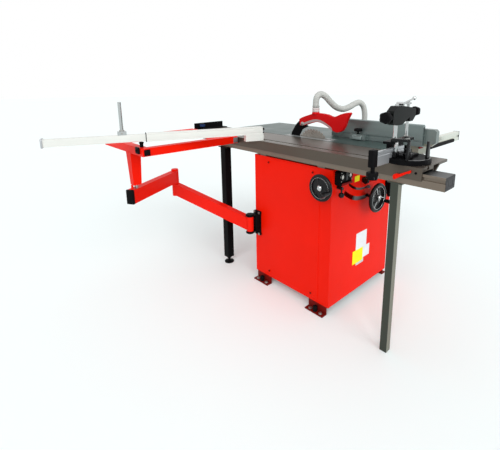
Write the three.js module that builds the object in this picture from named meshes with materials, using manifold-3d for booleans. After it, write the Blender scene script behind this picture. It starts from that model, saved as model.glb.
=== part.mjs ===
// Circular saw machine with a sliding table, in millimetres.
// +X points right and +Y to the rear for someone at the front, +Z is up, and the floor is at zero.
// Sizes are given from the cabinet's front left corner, and the whole is then centred on the floor.
import * as THREE from 'three';
import { mergeVertices } from 'three/addons/utils/BufferGeometryUtils.js';
import Module from 'manifold-3d';

const wasm = await Module();
wasm.setup();

// Shared clearances and cutting overrun
const gap = 0.3;
const running_gap = 1.5;
const overrun = 5;
const deg = Math.PI / 180;

// Heights of the working surface and of the cabinet
const table_top = 850;
const cabinet_width = 566;
const cabinet_depth = 544;
const cabinet_bottom = 45;
const cabinet_top = 765;
const sheet = 3;
const cabinet_flange = 45;

// Blade and the axis that it tilts about, which lies in the table's surface
const blade_x = 284;
const blade_y = 353;
const blade_radius = 127;
const blade_thickness = 2.4;
const blade_height = 50;
const blade_teeth = 36;
const tooth_depth = 9;
const arbor_radius = 8;

// Tables
const main_table_left = 230;
const main_table_right = 680;
const main_table_front = -115;
const main_table_rear = 700;
const rear_table_rear = 1025;
const table_plate = 12;
const table_skirt = 46;
const skirt_wall = 10;

// Beam and sliding carriage
const beam_left = -12;
const beam_width = 90;
const beam_front = -506;
const beam_rear = 1010;
const beam_bottom = 776;
const beam_top = 828;
const carriage_right = 225;
const carriage_front = -421;
const carriage_length = 1600;
const carriage_wall = 4;
const carriage_skirt = 50;
const t_slot_x = 36;

// Front slots, wheels and shafts
const main_slot_radius = 280;
const main_slot_width = 22;
const main_slot_start = -7;
const lock_slot_radius = 230;
const lock_slot_width = 13;
const lock_slot_start = -8;
const tilt_range = 45;
const shaft_radius = 8;
const elevation_wheel_y = -62;
const elevation_wheel_radius = 78;
const tilt_wheel_x = -47;
const tilt_shaft_y = 30;
const tilt_shaft_z = 684;
const tilt_wheel_radius = 65;
const wheel_rim = 8;
const worm_radius = 9;
const quadrant_radius = 156;

// Crosscut fence
const fence_swing = 21;
const fence_pivot_y = 530;
const fence_face_y = 474;
const fence_main_length = 603;
const fence_extension_shown = 430;
const fence_extension_length = 700;
const fence_thickness = 34;
const fence_bottom = 885;
const fence_height = 41;

// Mitre gauge and hold-down clamp
const mitre_x = 68;
const mitre_y = -320;
const mitre_base_radius = 92;
const mitre_base_height = 20;
const mitre_fence_left = -121;
const mitre_fence_right = 99;
const mitre_fence_y = -289;
const mitre_fence_height = 58;

// Outrigger frame, its leg and the swing arm
const frame_tube = 40;
const frame_left = -593;
const frame_front = 678;
const frame_rear = 1175;
const frame_top = 855;
const arm_hinge_x = -60;
const arm_hinge_y = 527;
const arm_elbow_x = -232;
const arm_elbow_y = 1055;
const arm_leg_x = -590;
const arm_leg_y = 850;
const arm_depth = 75;
const arm_width = 40;
const inner_arm_z = 365;
const outer_arm_z = 580;

// Rip fence and its rail
const rail_left = 480;
const rail_right = 1157;
const rail_front = -149;
const rail_bottom = 790;
const rail_height = 56;
const rail_thickness = 30;
const rip_face_x = 406;
const rip_front = -232;
const rip_rear = 312;
const rip_height = 108;
const rip_thickness = 24;

// Dust hose
const hose_outer = 37;
const hose_bore = 26;
const hose_pitch = 21;

const colours = {
  red: [0xb3202a, 0.45, 0.2],
  cast_iron: [0x3b4843, 0.55, 0.6],
  aluminium: [0xb9bdc0, 0.4, 0.9],
  black_paint: [0x1d1f22, 0.5, 0.2],
  black_plastic: [0x1a1b1d, 0.6, 0.0],
  chrome: [0xd6dadd, 0.15, 1.0],
  steel: [0x8f9396, 0.35, 0.95],
  blade_steel: [0x9a8f82, 0.35, 0.9],
  beige: [0xc9bda2, 0.6, 0.0],
  rubber: [0x2a2a2b, 0.9, 0.0],
  hose_grey: [0x8c8f90, 0.7, 0.0],
  dark_blue: [0x27324a, 0.6, 0.0],
  grey_paint: [0x7b8084, 0.5, 0.3],
  button_white: [0xe4e4df, 0.5, 0.0],
  panel_red: [0xae1f29, 0.45, 0.2],
};

// Turns a closed three.js geometry into a solid whose faces point out
function solid(geometry) {
  const plain = geometry.clone();
  plain.deleteAttribute('normal');
  plain.deleteAttribute('uv');
  const merged = mergeVertices(plain, 1e-4);
  const position = merged.attributes.position;
  const index = merged.index.array;
  const kept = [];
  const corner = [new THREE.Vector3(), new THREE.Vector3(), new THREE.Vector3()];
  let volume = 0;
  for (let i = 0; i < index.length; i += 3) {
    const [a, b, c] = [index[i], index[i + 1], index[i + 2]];
    if (a === b || b === c || a === c) continue;
    kept.push(a, b, c);
    corner[0].fromBufferAttribute(position, a);
    corner[1].fromBufferAttribute(position, b);
    corner[2].fromBufferAttribute(position, c);
    volume += corner[0].dot(corner[1].cross(corner[2]));
  }
  if (volume < 0) kept.reverse();
  const triangles = new Uint32Array(kept);
  return new wasm.Manifold(new wasm.Mesh({
    numProp: 3,
    vertProperties: new Float32Array(position.array),
    triVerts: triangles,
  }));
}

// A block between two corners
function block(x0, x1, y0, y1, z0, z1) {
  const geometry = new THREE.BoxGeometry(x1 - x0, y1 - y0, z1 - z0);
  geometry.translate((x0 + x1) / 2, (y0 + y1) / 2, (z0 + z1) / 2);
  return solid(geometry);
}

const half = 0.5;
const quarter = 0.25;
const quarter_turn = Math.PI / 2;

// A round bar between two points
function bar(from, to, radius, sides = 10, end_radius = radius) {
  const a = new THREE.Vector3(...from);
  const b = new THREE.Vector3(...to);
  const geometry = new THREE.CylinderGeometry(end_radius, radius, a.distanceTo(b), sides);
  const up = new THREE.Vector3(0, 1, 0);
  const along = b.clone().sub(a).normalize();
  geometry.applyQuaternion(new THREE.Quaternion().setFromUnitVectors(up, along));
  const middle = a.add(b).multiplyScalar(half);
  geometry.translate(middle.x, middle.y, middle.z);
  return solid(geometry);
}

function shape_of(points, holes = []) {
  const shape = new THREE.Shape(points.map(([u, v]) => new THREE.Vector2(u, v)));
  for (const hole of holes) {
    shape.holes.push(new THREE.Path(hole.map(([u, v]) => new THREE.Vector2(u, v))));
  }
  return shape;
}

// An outline pushed along an axis: (x, y) along z, (x, z) along y, or (y, z) along x
function profile(points, axis, from, to, holes = []) {
  const geometry = new THREE.ExtrudeGeometry(shape_of(points, holes), {
    depth: to - from, bevelEnabled: false, steps: 1,
  });
  if (axis === 'z') geometry.translate(0, 0, from);
  if (axis === 'y') {
    geometry.rotateX(quarter_turn);
    geometry.translate(0, to, 0);
  }
  if (axis === 'x') {
    const turn = new THREE.Matrix4().makeBasis(
      new THREE.Vector3(0, 1, 0), new THREE.Vector3(0, 0, 1), new THREE.Vector3(1, 0, 0));
    geometry.applyMatrix4(turn);
    geometry.translate(from, 0, 0);
  }
  return solid(geometry);
}

// A turned piece: rows of (radius, height) about an axis through a point
function turned(rows, point, axis, sides = 14) {
  const geometry = new THREE.LatheGeometry(rows.map(([r, h]) => new THREE.Vector2(r, h)), sides);
  const up = new THREE.Vector3(0, 1, 0);
  geometry.applyQuaternion(new THREE.Quaternion().setFromUnitVectors(up, new THREE.Vector3(...axis)));
  geometry.translate(...point);
  return solid(geometry);
}

function join(...solids) {
  return solids.reduce((sum, next) => sum.add(next));
}

function cut(body, ...tools) {
  return tools.reduce((rest, tool) => rest.subtract(tool), body);
}

// Points of an arc, in degrees from the first axis
function arc(cx, cy, radius, from, to, count) {
  const points = [];
  for (let i = 0; i <= count; i += 1) {
    const t = (from + ((to - from) * i) / count) * deg;
    points.push([cx + radius * Math.cos(t), cy + radius * Math.sin(t)]);
  }
  return points;
}

// A band of a ring, with round ends where they are asked for
function arc_band(cx, cy, radius, width, from, to, round_ends, count = 10) {
  const outer = arc(cx, cy, radius + width * half, from, to, count);
  const inner = arc(cx, cy, radius - width * half, to, from, count);
  if (!round_ends) return [...outer, ...inner];
  const cap = (at, start) => {
    const px = cx + radius * Math.cos(at * deg);
    const py = cy + radius * Math.sin(at * deg);
    return arc(px, py, width * half, start, start + 180, 4).slice(1, -1);
  };
  return [...outer, ...cap(to, to), ...inner, ...cap(from, from + 180)];
}

function rectangle(u0, u1, v0, v1) {
  return [[u0, v0], [u1, v0], [u1, v1], [u0, v1]];
}

const machine = new THREE.Group();

// Makes the named mesh of a sub-part and hangs it in a group
function piece(name, body, colour, parent = machine) {
  const mesh_data = body.getMesh();
  const geometry = new THREE.BufferGeometry();
  const positions = new Float32Array(mesh_data.vertProperties);
  geometry.setAttribute('position', new THREE.BufferAttribute(positions, 3));
  geometry.setIndex(new THREE.BufferAttribute(new Uint32Array(mesh_data.triVerts), 1));
  geometry.computeVertexNormals();
  const [color, roughness, metalness] = colours[colour];
  const material = new THREE.MeshStandardMaterial({ color, roughness, metalness });
  const mesh = new THREE.Mesh(geometry, material);
  mesh.name = name;
  parent.add(mesh);
  return mesh;
}

// Angles on the front slots are counted from straight down, towards the operator's left
const down = (angle) => 270 - angle;
const tilt_point = (radius, angle) => [
  blade_x + radius * Math.cos(down(angle) * deg),
  table_top + radius * Math.sin(down(angle) * deg),
];

// Cabinet of folded sheet, open below and above between its side flanges
const panel_front = 70;
const panel_rear = 451;
const panel_bottom = 60;
const panel_top = 756;
const panel_overlap = 25;
const dust_y = 330;
const dust_z = 330;
const dust_radius = hose_outer * half + 4;

function cabinet_shell() {
  const outer = block(0, cabinet_width, 0, cabinet_depth, cabinet_bottom, cabinet_top);
  const inner = block(sheet, cabinet_width - sheet, sheet, cabinet_depth - sheet,
    cabinet_bottom + sheet, cabinet_top - sheet);
  const mouth = block(cabinet_flange, cabinet_width - cabinet_flange, sheet, cabinet_depth - sheet,
    cabinet_bottom - overrun, cabinet_top + overrun);
  const main_slot = profile(
    arc_band(blade_x, table_top, main_slot_radius, main_slot_width,
      down(main_slot_start + tilt_range), down(main_slot_start), true),
    'y', -overrun, sheet + overrun);
  const lock_slot = profile(
    arc_band(blade_x, table_top, lock_slot_radius, lock_slot_width,
      down(lock_slot_start + tilt_range), down(lock_slot_start), true),
    'y', -overrun, sheet + overrun);
  const panel_window = block(-overrun, sheet + overrun, panel_front + panel_overlap,
    panel_rear - panel_overlap, panel_bottom + panel_overlap, panel_top - panel_overlap);
  const tilt_hole = bar([-overrun, tilt_shaft_y, tilt_shaft_z],
    [sheet + overrun, tilt_shaft_y, tilt_shaft_z], shaft_radius + gap, 20);
  const dust_hole = bar([cabinet_width - sheet - overrun, dust_y, dust_z],
    [cabinet_width + overrun, dust_y, dust_z], dust_radius + gap, 24);
  return cut(outer, inner, mouth, main_slot, lock_slot, panel_window, tilt_hole, dust_hole);
}

// A low screw head on a face that looks along one axis
function screw(point, axis, radius = 6, height = 3) {
  const rows = [[0, 0], [radius, 0], [radius, height * half], [radius * half, height], [0, height]];
  return turned(rows, point, axis, 8);
}

const panel_thickness = 1.6;
const panel_screw_z = 741;
const panel_screw_inset = 25;

function side_panel() {
  const face = block(-gap - panel_thickness, -gap, panel_front, panel_rear, panel_bottom, panel_top);
  const heads = [panel_front + panel_screw_inset * 2, panel_rear - panel_screw_inset].map(
    (y) => screw([-gap - panel_thickness, y, panel_screw_z], [-1, 0, 0]));
  const bottom_heads = [panel_front + panel_screw_inset, panel_rear - panel_screw_inset].map(
    (y) => screw([-gap - panel_thickness, y, panel_bottom + panel_screw_inset * half], [-1, 0, 0]));
  return join(face, ...heads, ...bottom_heads);
}

// Corner feet: a floor tab with two bolt holes, a riser, and a flange under the cabinet
const foot_length = 115;
const foot_inset = 12;
const foot_reach = 32;
const foot_plate = 6;
const foot_flange = 125;
const foot_hole = 6;
const foot_hole_inset = 24;

function foot_bracket(side_x, side_y) {
  const sx = side_x > 0 ? -1 : 1;
  const sy = side_y > 0 ? -1 : 1;
  const x0 = side_x > 0 ? cabinet_width : 0;
  const y0 = (side_y > 0 ? cabinet_depth : 0) + sy * foot_inset;
  const y1 = y0 + sy * foot_length;
  const tab = block(x0 - sx * foot_reach, x0 + sx * foot_plate, y0, y1, 0, foot_plate);
  const riser = block(x0, x0 + sx * foot_plate, y0, y1, 0, cabinet_bottom);
  const flange = block(x0, x0 + sx * foot_flange, y0, y1, cabinet_bottom - foot_plate, cabinet_bottom);
  const holes = [y0 + sy * foot_hole_inset, y1 - sy * foot_hole_inset].map((y) => {
    const x = x0 - sx * foot_reach * half;
    return bar([x, y, -overrun], [x, y, foot_plate + overrun], foot_hole, 16);
  });
  return cut(join(tab, riser, flange), ...holes);
}

// Cast-iron tables: a plate with a skirt, ribs and seats on the cabinet
const insert_left = 240;
const insert_right = 306;
const insert_front = 206;
const insert_rear = 534;
const insert_thickness = 5;
const insert_rim = 5;
const low_skirt = 20;
const table_rib = 8;
const rib_depth = 34;
const seat_size = 30;
const seat_left = 484;

function main_table() {
  const skirt_bottom = table_top - table_skirt;
  const plate_bottom = table_top - table_plate;
  const outer = block(main_table_left, main_table_right, main_table_front, main_table_rear,
    skirt_bottom, table_top);
  const hollow = block(main_table_left - overrun, main_table_right - skirt_wall,
    main_table_front + skirt_wall, main_table_rear - skirt_wall, skirt_bottom - overrun, plate_bottom);
  const left_lip = block(main_table_left, main_table_left + table_rib, main_table_front + skirt_wall,
    main_table_rear - skirt_wall, table_top - low_skirt, plate_bottom);
  const rib_xs = [1, 2].map((i) => insert_right + (i * (main_table_right - insert_right)) / 3);
  const ribs = rib_xs.map((x) => block(x, x + table_rib, main_table_front + skirt_wall,
    main_table_rear - skirt_wall, table_top - rib_depth, plate_bottom));
  const cross_y = [1, 2, 3].map((i) => main_table_front
    + (i * (main_table_rear - main_table_front)) / 4);
  const cross = cross_y.map((y) => block(rib_xs[0], main_table_right - skirt_wall, y, y + table_rib,
    table_top - rib_depth, plate_bottom));
  const seats = [sheet, cabinet_depth - sheet - seat_size].map((y) => block(
    cabinet_width - sheet - seat_size, cabinet_width - sheet, y, y + seat_size,
    cabinet_top, plate_bottom));
  const opening = block(insert_left, insert_right, insert_front, insert_rear,
    plate_bottom - overrun, table_top + overrun);
  const rebate = block(insert_left - insert_rim, insert_right + insert_rim,
    insert_front - insert_rim, insert_rear + insert_rim, table_top - insert_thickness, table_top + overrun);
  return cut(join(cut(outer, hollow), left_lip, ...ribs, ...cross, ...seats), opening, rebate);
}

function rear_table() {
  const skirt_bottom = table_top - table_skirt;
  const front = main_table_rear + gap;
  const outer = block(main_table_left, main_table_right, front, rear_table_rear, skirt_bottom, table_top);
  const hollow = block(main_table_left + skirt_wall, main_table_right - skirt_wall, front + skirt_wall,
    rear_table_rear - skirt_wall, skirt_bottom - overrun, table_top - table_plate);
  const middle = (main_table_left + main_table_right) * half;
  const rib = block(middle, middle + table_rib, front + skirt_wall, rear_table_rear - skirt_wall,
    table_top - rib_depth, table_top - table_plate);
  return join(cut(outer, hollow), rib);
}

const blade_slot_left = 9;
const blade_slot_right = 5;
const insert_slot_end = 6;

function table_insert() {
  const inset = insert_rim - gap;
  const plate = block(insert_left - inset, insert_right + inset, insert_front - inset,
    insert_rear + inset, table_top - insert_thickness + gap, table_top);
  const slot = block(blade_x - blade_slot_left, blade_x + blade_slot_right,
    insert_front + insert_slot_end, insert_rear, table_top - insert_thickness - overrun,
    table_top + overrun);
  return cut(plate, slot);
}

// Aluminium beam that carries the sliding carriage, with a groove along its left side
const beam_pad_height = beam_bottom - cabinet_top;
const groove_depth = 6;

function fixed_beam() {
  const left = beam_left;
  const right = beam_left + beam_width;
  const lip = 3;
  const wall = 5;
  const groove_low = beam_top - 23;
  const groove_high = beam_top - 10;
  const outline = [
    [left, beam_bottom], [right, beam_bottom], [right, beam_top], [left, beam_top],
    [left, groove_high], [left + groove_depth, groove_high], [left + groove_depth, groove_low],
    [left, groove_low],
  ];
  const chamber = rectangle(left + groove_depth + wall, right - wall, beam_bottom + wall, beam_top - wall);
  const profile_bar = profile(outline, 'y', beam_front, beam_rear, [chamber]);
  const pads = [cabinet_depth / 8, cabinet_depth - cabinet_depth / 8].map((y) => block(
    sheet, right - wall, y - beam_width * quarter, y + beam_width * quarter,
    beam_bottom - beam_pad_height, beam_bottom));
  const rails = [left + lip * 4, right - lip * 4].map((x) => block(
    x - lip, x + lip, beam_front + beam_width, beam_rear, beam_top, deck_under - gap));
  return join(profile_bar, ...pads, ...rails);
}

// Legs under the beam
const rear_leg_x = -10;
const rear_leg_y = 808;
const rear_leg_size = 45;
const rear_leg_wall = 3;
const front_leg_x = -1;
const front_leg_y = -316;
const front_leg_size = 32;
const foot_disc = 30;
const foot_thread = 7;
const leg_foot_height = 40;
const leg_plate = 5;

function square_tube(x, y, size, wall, z0, z1) {
  const outer = rectangle(x - size * half, x + size * half, y - size * half, y + size * half);
  const inside = size * half - wall;
  const inner = rectangle(x - inside, x + inside, y - inside, y + inside);
  return profile(outer, 'z', z0, z1, [inner]);
}

function rear_leg() {
  const tube = square_tube(rear_leg_x, rear_leg_y, rear_leg_size, rear_leg_wall,
    leg_foot_height, beam_bottom - leg_plate);
  const plate_half = rear_leg_size * half;
  const top = block(rear_leg_x - plate_half, rear_leg_x + plate_half,
    rear_leg_y - rear_leg_size, rear_leg_y + rear_leg_size, beam_bottom - leg_plate, beam_bottom);
  const end = block(rear_leg_x - plate_half, rear_leg_x + plate_half, rear_leg_y - plate_half,
    rear_leg_y + plate_half, leg_foot_height, leg_foot_height + leg_plate);
  const drain = bar([rear_leg_x, rear_leg_y, leg_foot_height * 2.5],
    [rear_leg_x, rear_leg_y + rear_leg_size, leg_foot_height * 2.5], leg_plate, 12);
  return cut(join(tube, top, end), drain);
}

function rear_leg_foot() {
  const pad = 12;
  const thread_length = leg_foot_height * 2;
  const rows = [
    [0, 0], [foot_disc, 0], [foot_disc, pad * half], [foot_thread * 2, pad], [foot_thread, pad],
    [foot_thread, thread_length], [0, thread_length],
  ];
  const stud = turned(rows, [rear_leg_x, rear_leg_y, 0], [0, 0, 1], 20);
  const nut = hexagon(rear_leg_x, rear_leg_y, foot_thread * 2, leg_foot_height - pad,
    leg_foot_height);
  return join(stud, nut);
}

function hexagon(x, y, radius, z0, z1) {
  return profile(arc(x, y, radius, 0, 300, 5), 'z', z0, z1);
}

function front_leg() {
  const size = front_leg_size * half;
  const wall = 3;
  const [x, y] = [front_leg_x, front_leg_y];
  const channel = [
    [x - size, y - size], [x + size, y - size], [x + size, y + size], [x + size - wall, y + size],
    [x + size - wall, y - size + wall], [x - size + wall, y - size + wall], [x - size + wall, y + size],
    [x - size, y + size],
  ];
  const foot = block(x - size, x + size, y - size, y + size, 0, leg_plate);
  const top = block(x - size, x + size, y - front_leg_size, y + front_leg_size,
    beam_bottom - leg_plate, beam_bottom);
  return join(profile(channel, 'z', 0, beam_bottom - leg_plate), foot, top);
}

// Trunnions bolted under the table, with an arc slot for the cradle's guide pins
const pin_circle = 90;
const pin_radius = 7;
const pin_spread = 14;
const trunnion_inner = 62;
const trunnion_outer = 118;
const trunnion_front = 40;
const trunnion_thickness = 11;
const trunnion_rear = 528;
const trunnion_foot = 34;

function trunnion(y) {
  const middle = (trunnion_inner + trunnion_outer) * half;
  const band = arc_band(blade_x, table_top, middle, trunnion_outer - trunnion_inner,
    down(tilt_range + pin_spread + 10), down(-pin_spread - 8), false, 12);
  const slot = arc_band(blade_x, table_top, pin_circle, (pin_radius + gap) * 2,
    down(tilt_range + pin_spread + half * 2), down(-half * 2), true, 16);
  const plate = cut(profile(band, 'y', y, y + trunnion_thickness),
    profile(slot, 'y', y - overrun, y + trunnion_thickness + overrun));
  const foot_left = insert_right + insert_rim + running_gap;
  const foot = block(foot_left, foot_left + trunnion_foot, y, y + trunnion_thickness,
    table_top - (trunnion_inner + trunnion_outer) * half, table_top - table_plate);
  return join(plate, cut(foot, profile(slot, 'y', y - overrun, y + trunnion_thickness + overrun)));
}

// Fence rail along the front of the table
function rip_rail() {
  const rear = rail_front + rail_thickness;
  const wall = 4;
  const groove = 12;
  const middle = rail_bottom + rail_height * half;
  const outline = [
    [rail_front, rail_bottom], [rear, rail_bottom], [rear, rail_bottom + rail_height],
    [rail_front, rail_bottom + rail_height], [rail_front, middle + groove * half],
    [rail_front + wall, middle + groove * half], [rail_front + wall, middle - groove * half],
    [rail_front, middle - groove * half],
  ];
  const chamber = rectangle(rail_front + wall * 2, rear - wall, rail_bottom + wall,
    rail_bottom + rail_height - wall);
  const rail = profile(outline, 'x', rail_left, rail_right, [chamber]);
  const bosses = [1, 3].map((i) => {
    const x = rail_left + (i * (main_table_right - rail_left)) / 4;
    return bar([x, rear, middle + groove], [x, main_table_front, middle + groove], groove, 20);
  });
  return join(rail, ...bosses);
}

// Switch box with a recess for each button and a stop bar under them
const switch_left = 20;
const switch_right = 115;
const switch_bottom = 688;
const switch_top = 758;
const switch_depth = 30;
const button_radius = 11;
const button_inset = 16;
const button_depth = 14;
const button_proud = 5;
const button_z = 732;

const button_x = (side) => (side > 0 ? switch_right - button_inset : switch_left + button_inset);

function switch_box() {
  const rim = 8;
  const outline = [
    [switch_left + rim, switch_bottom], [switch_right - rim, switch_bottom],
    [switch_right, switch_bottom + rim], [switch_right, switch_top - rim],
    [switch_right - rim, switch_top], [switch_left + rim, switch_top],
    [switch_left, switch_top - rim], [switch_left, switch_bottom + rim],
  ];
  const body = profile(outline, 'y', -switch_depth, 0);
  const pockets = [-1, 1].map((side) => bar([button_x(side), -switch_depth - overrun, button_z],
    [button_x(side), -switch_depth + button_depth, button_z], button_radius + gap * 2, 16));
  const rib = block(switch_left + rim, switch_right - rim, -switch_depth - rim * half, -switch_depth,
    switch_bottom + rim * half, switch_bottom + rim * 2);
  return join(cut(body, ...pockets), rib);
}

const button_travel = 3;

function button(side) {
  const x = button_x(side);
  const length = button_depth + button_proud - button_travel - gap;
  const edge = 2;
  const rows = [[0, 0], [button_radius, 0], [button_radius, length - edge],
    [button_radius - edge, length], [0, length]];
  return turned(rows, [x, -switch_depth + button_depth - button_travel - gap, button_z], [0, -1, 0], 16);
}

const terminal_left = 504;
const terminal_right = 549;
const terminal_bottom = 541;
const terminal_top = 616;
const terminal_depth = 26;

function terminal_box() {
  const edge = 4;
  const lid = 5;
  const base = block(terminal_left, terminal_right, -terminal_depth + lid, 0, terminal_bottom, terminal_top);
  const cover = block(terminal_left + edge * half, terminal_right - edge * half, -terminal_depth,
    -terminal_depth + lid, terminal_bottom + edge * half, terminal_top - edge * half);
  const screws = [terminal_bottom + edge * 2, terminal_top - edge * 2].map(
    (z) => screw([(terminal_left + terminal_right) * half, -terminal_depth, z], [0, -1, 0], edge));
  return join(base, cover, ...screws);
}

// Hinge bracket of the swing arm: two plates on a back plate, with its pin and bolt heads
const bracket_front = 497;
const bracket_rear = cabinet_depth;
const bracket_bottom = 284;
const bracket_top = 431;
const bracket_plate = 6;
const bracket_reach = 82;
const barrel_radius = 20;
const hinge_pin = 8;
const barrel_low = 322;
const barrel_high = 409;

function hinge_bracket() {
  const back = block(-bracket_plate, 0, bracket_front, bracket_rear, bracket_bottom, bracket_top);
  const ear = (z0, z1) => {
    const rear = bracket_rear;
    const tip = arc(arm_hinge_x, arm_hinge_y, barrel_radius, 90, 270, 8);
    const outline = [[0, bracket_front], [0, rear], ...tip];
    return profile(outline, 'z', z0, z1);
  };
  const low = ear(barrel_low - gap - bracket_plate, barrel_low - gap);
  const high = ear(barrel_high + gap, barrel_high + gap + bracket_plate);
  const pin = bar([arm_hinge_x, arm_hinge_y, barrel_low - gap - bracket_plate],
    [arm_hinge_x, arm_hinge_y, barrel_high + gap + bracket_plate], hinge_pin);
  const bolts = [bracket_bottom + hinge_pin * 2, bracket_top - hinge_pin].map(
    (z) => screw([-bracket_plate, (bracket_front + bracket_rear) * half, z], [-1, 0, 0], hinge_pin, hinge_pin * half));
  return join(back, low, high, pin, ...bolts);
}

// Dust outlet on the right wall, with a collar that the hose ends in
const port_reach = 34;

function dust_port() {
  const flange = 14;
  const plate = 4;
  const wall = 3;
  const rows = [
    [dust_radius - wall, -sheet], [dust_radius, -sheet], [dust_radius, 0],
    [dust_radius + flange, 0], [dust_radius + flange, plate], [dust_radius, plate],
    [dust_radius, port_reach], [dust_radius - wall, port_reach], [dust_radius - wall, -sheet],
  ];
  return turned(rows, [cabinet_width, dust_y, dust_z], [1, 0, 0], 24);
}

// Sliding carriage: an extruded deck with a T-slot, over the beam
const deck_under = 834;
const lip_under = 839;
const inner_web_x = 82;
const web_foot_z = 803;
const web_top_x = 150;
const t_slot_mouth = 12;
const t_slot_width = 20;
const t_slot_lip = 5;
const t_slot_depth = 12;

function sliding_carriage() {
  const left = beam_left - carriage_wall - running_gap + gap;
  const skirt = table_top - carriage_skirt;
  const mouth = t_slot_mouth * half;
  const wide = t_slot_width * half;
  const outline = [
    [left, skirt], [left + carriage_wall, skirt], [left + carriage_wall, deck_under],
    [inner_web_x, deck_under], [inner_web_x, web_foot_z], [inner_web_x + carriage_wall * 2, web_foot_z],
    [web_top_x, lip_under], [carriage_right, lip_under], [carriage_right, table_top],
    [t_slot_x + mouth, table_top], [t_slot_x + mouth, table_top - t_slot_lip],
    [t_slot_x + wide, table_top - t_slot_lip], [t_slot_x + wide, table_top - t_slot_depth],
    [t_slot_x - wide, table_top - t_slot_depth], [t_slot_x - wide, table_top - t_slot_lip],
    [t_slot_x - mouth, table_top - t_slot_lip], [t_slot_x - mouth, table_top], [left, table_top],
  ];
  const chamber = [
    [inner_web_x + carriage_wall, web_foot_z + carriage_wall * 2],
    [inner_web_x + carriage_wall * 2, web_foot_z + carriage_wall * 2],
    [web_top_x - carriage_wall * 3, lip_under], [web_top_x - carriage_wall * 3, table_top - carriage_wall],
    [inner_web_x + carriage_wall, table_top - carriage_wall],
  ];
  return profile(outline, 'y', carriage_front, carriage_front + carriage_length, [chamber]);
}

const carriage_left = beam_left - carriage_wall - running_gap + gap;

// Carriage lock: a cast lever that turns on its rear screw
const lock_pivot_y = -325;
const lock_pivot_z = 802;
const lock_length = 56;
const lock_thickness = 12;

function carriage_lock() {
  const width = 13;
  const outline = [
    ...arc(lock_pivot_y, lock_pivot_z, width, -60, 120, 8),
    ...arc(lock_pivot_y - lock_length * Math.cos(30 * deg), lock_pivot_z + lock_length * Math.sin(30 * deg),
      width * half, 120, 300, 6),
  ];
  const outer = carriage_left - gap;
  const lever = profile(outline, 'x', outer - lock_thickness, outer);
  const head = screw([outer - lock_thickness, lock_pivot_y, lock_pivot_z], [-1, 0, 0], width * half, 4);
  return join(lever, head);
}

// Outrigger frame of square tube, with feet on the carriage, gussets, end caps and its stud
const gusset = 45;
const stud_y = 730;

function outrigger_frame() {
  const z0 = frame_top - frame_tube;
  const right = carriage_left;
  const tube = frame_tube;
  const front = block(frame_left, right, frame_front, frame_front + tube, z0, frame_top);
  const rear = block(frame_left, right, frame_rear - tube, frame_rear, z0, frame_top);
  const sides = [frame_left, right - tube].map(
    (x) => block(x, x + tube, frame_front, frame_rear, z0, frame_top));
  const corner = (x, y, sx, sy) => profile(
    [[x, y], [x + sx * gusset, y], [x, y + sy * gusset]], 'z', z0, z0 + tube / 8);
  const gussets = [
    corner(frame_left + tube, frame_front + tube, 1, 1), corner(right - tube, frame_front + tube, -1, 1),
    corner(frame_left + tube, frame_rear - tube, 1, -1), corner(right - tube, frame_rear - tube, -1, -1),
  ];
  const cap_inset = tube / 10;
  const caps = [frame_left, right - tube].map((x) => block(x + cap_inset, x + tube - cap_inset,
    frame_front - cap_inset, frame_front, z0 + cap_inset, frame_top - cap_inset));
  const stud_x = frame_left + tube * half;
  const stud = bar([stud_x, stud_y, frame_top], [stud_x, stud_y, frame_top + tube * half], tube / 5, 16);
  return join(front, rear, ...sides, ...gussets, ...caps, stud);
}

// Tapered leg under the outrigger frame, open at its foot
const leg_bottom = 640;
const leg_top_size = 55;
const leg_bottom_size = 42;

function tapered_box(x, y, size0, size1, z0, z1) {
  const geometry = new THREE.CylinderGeometry(size1 * Math.SQRT1_2, size0 * Math.SQRT1_2, z1 - z0, 4, 1);
  geometry.rotateY(quarter_turn * half);
  geometry.rotateX(quarter_turn);
  geometry.translate(x, y, (z0 + z1) * half);
  return solid(geometry);
}

function outrigger_leg() {
  const wall = 3;
  const top = frame_top - frame_tube;
  const plate = 5;
  const x = arm_leg_x + leg_top_size * half - frame_tube / 8;
  const outer = tapered_box(x, arm_leg_y, leg_bottom_size, leg_top_size, leg_bottom, top);
  const inner = tapered_box(x, arm_leg_y, leg_bottom_size - wall * 2, leg_top_size - wall * 2,
    leg_bottom - gap, top - plate);
  const floor_plate = block(x - leg_bottom_size * half, x + leg_bottom_size * half,
    arm_leg_y - leg_bottom_size * half, arm_leg_y + leg_bottom_size * half, leg_bottom, leg_bottom + plate);
  const drain = bar([x, arm_leg_y, leg_bottom - overrun], [x, arm_leg_y, leg_bottom + plate + overrun], plate, 12);
  return cut(join(cut(outer, inner), floor_plate), drain);
}

// Swing arm: each link is drawn along its own +X from its pivot
const link_wall = 4;
const elbow_radius = 22;
const elbow_low = 455;
const elbow_split = 538;
const elbow_high = 625;
const elbow_pin = 9;
const elbow_arm_z = 500;
const inner_length = Math.hypot(arm_elbow_x - arm_hinge_x, arm_elbow_y - arm_hinge_y);
const outer_length = Math.hypot(arm_leg_x - arm_elbow_x, arm_leg_y - arm_elbow_y);
const inner_angle = Math.atan2(arm_elbow_y - arm_hinge_y, arm_elbow_x - arm_hinge_x);
const outer_angle = Math.atan2(arm_leg_y - arm_elbow_y, arm_leg_x - arm_elbow_x);

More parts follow.
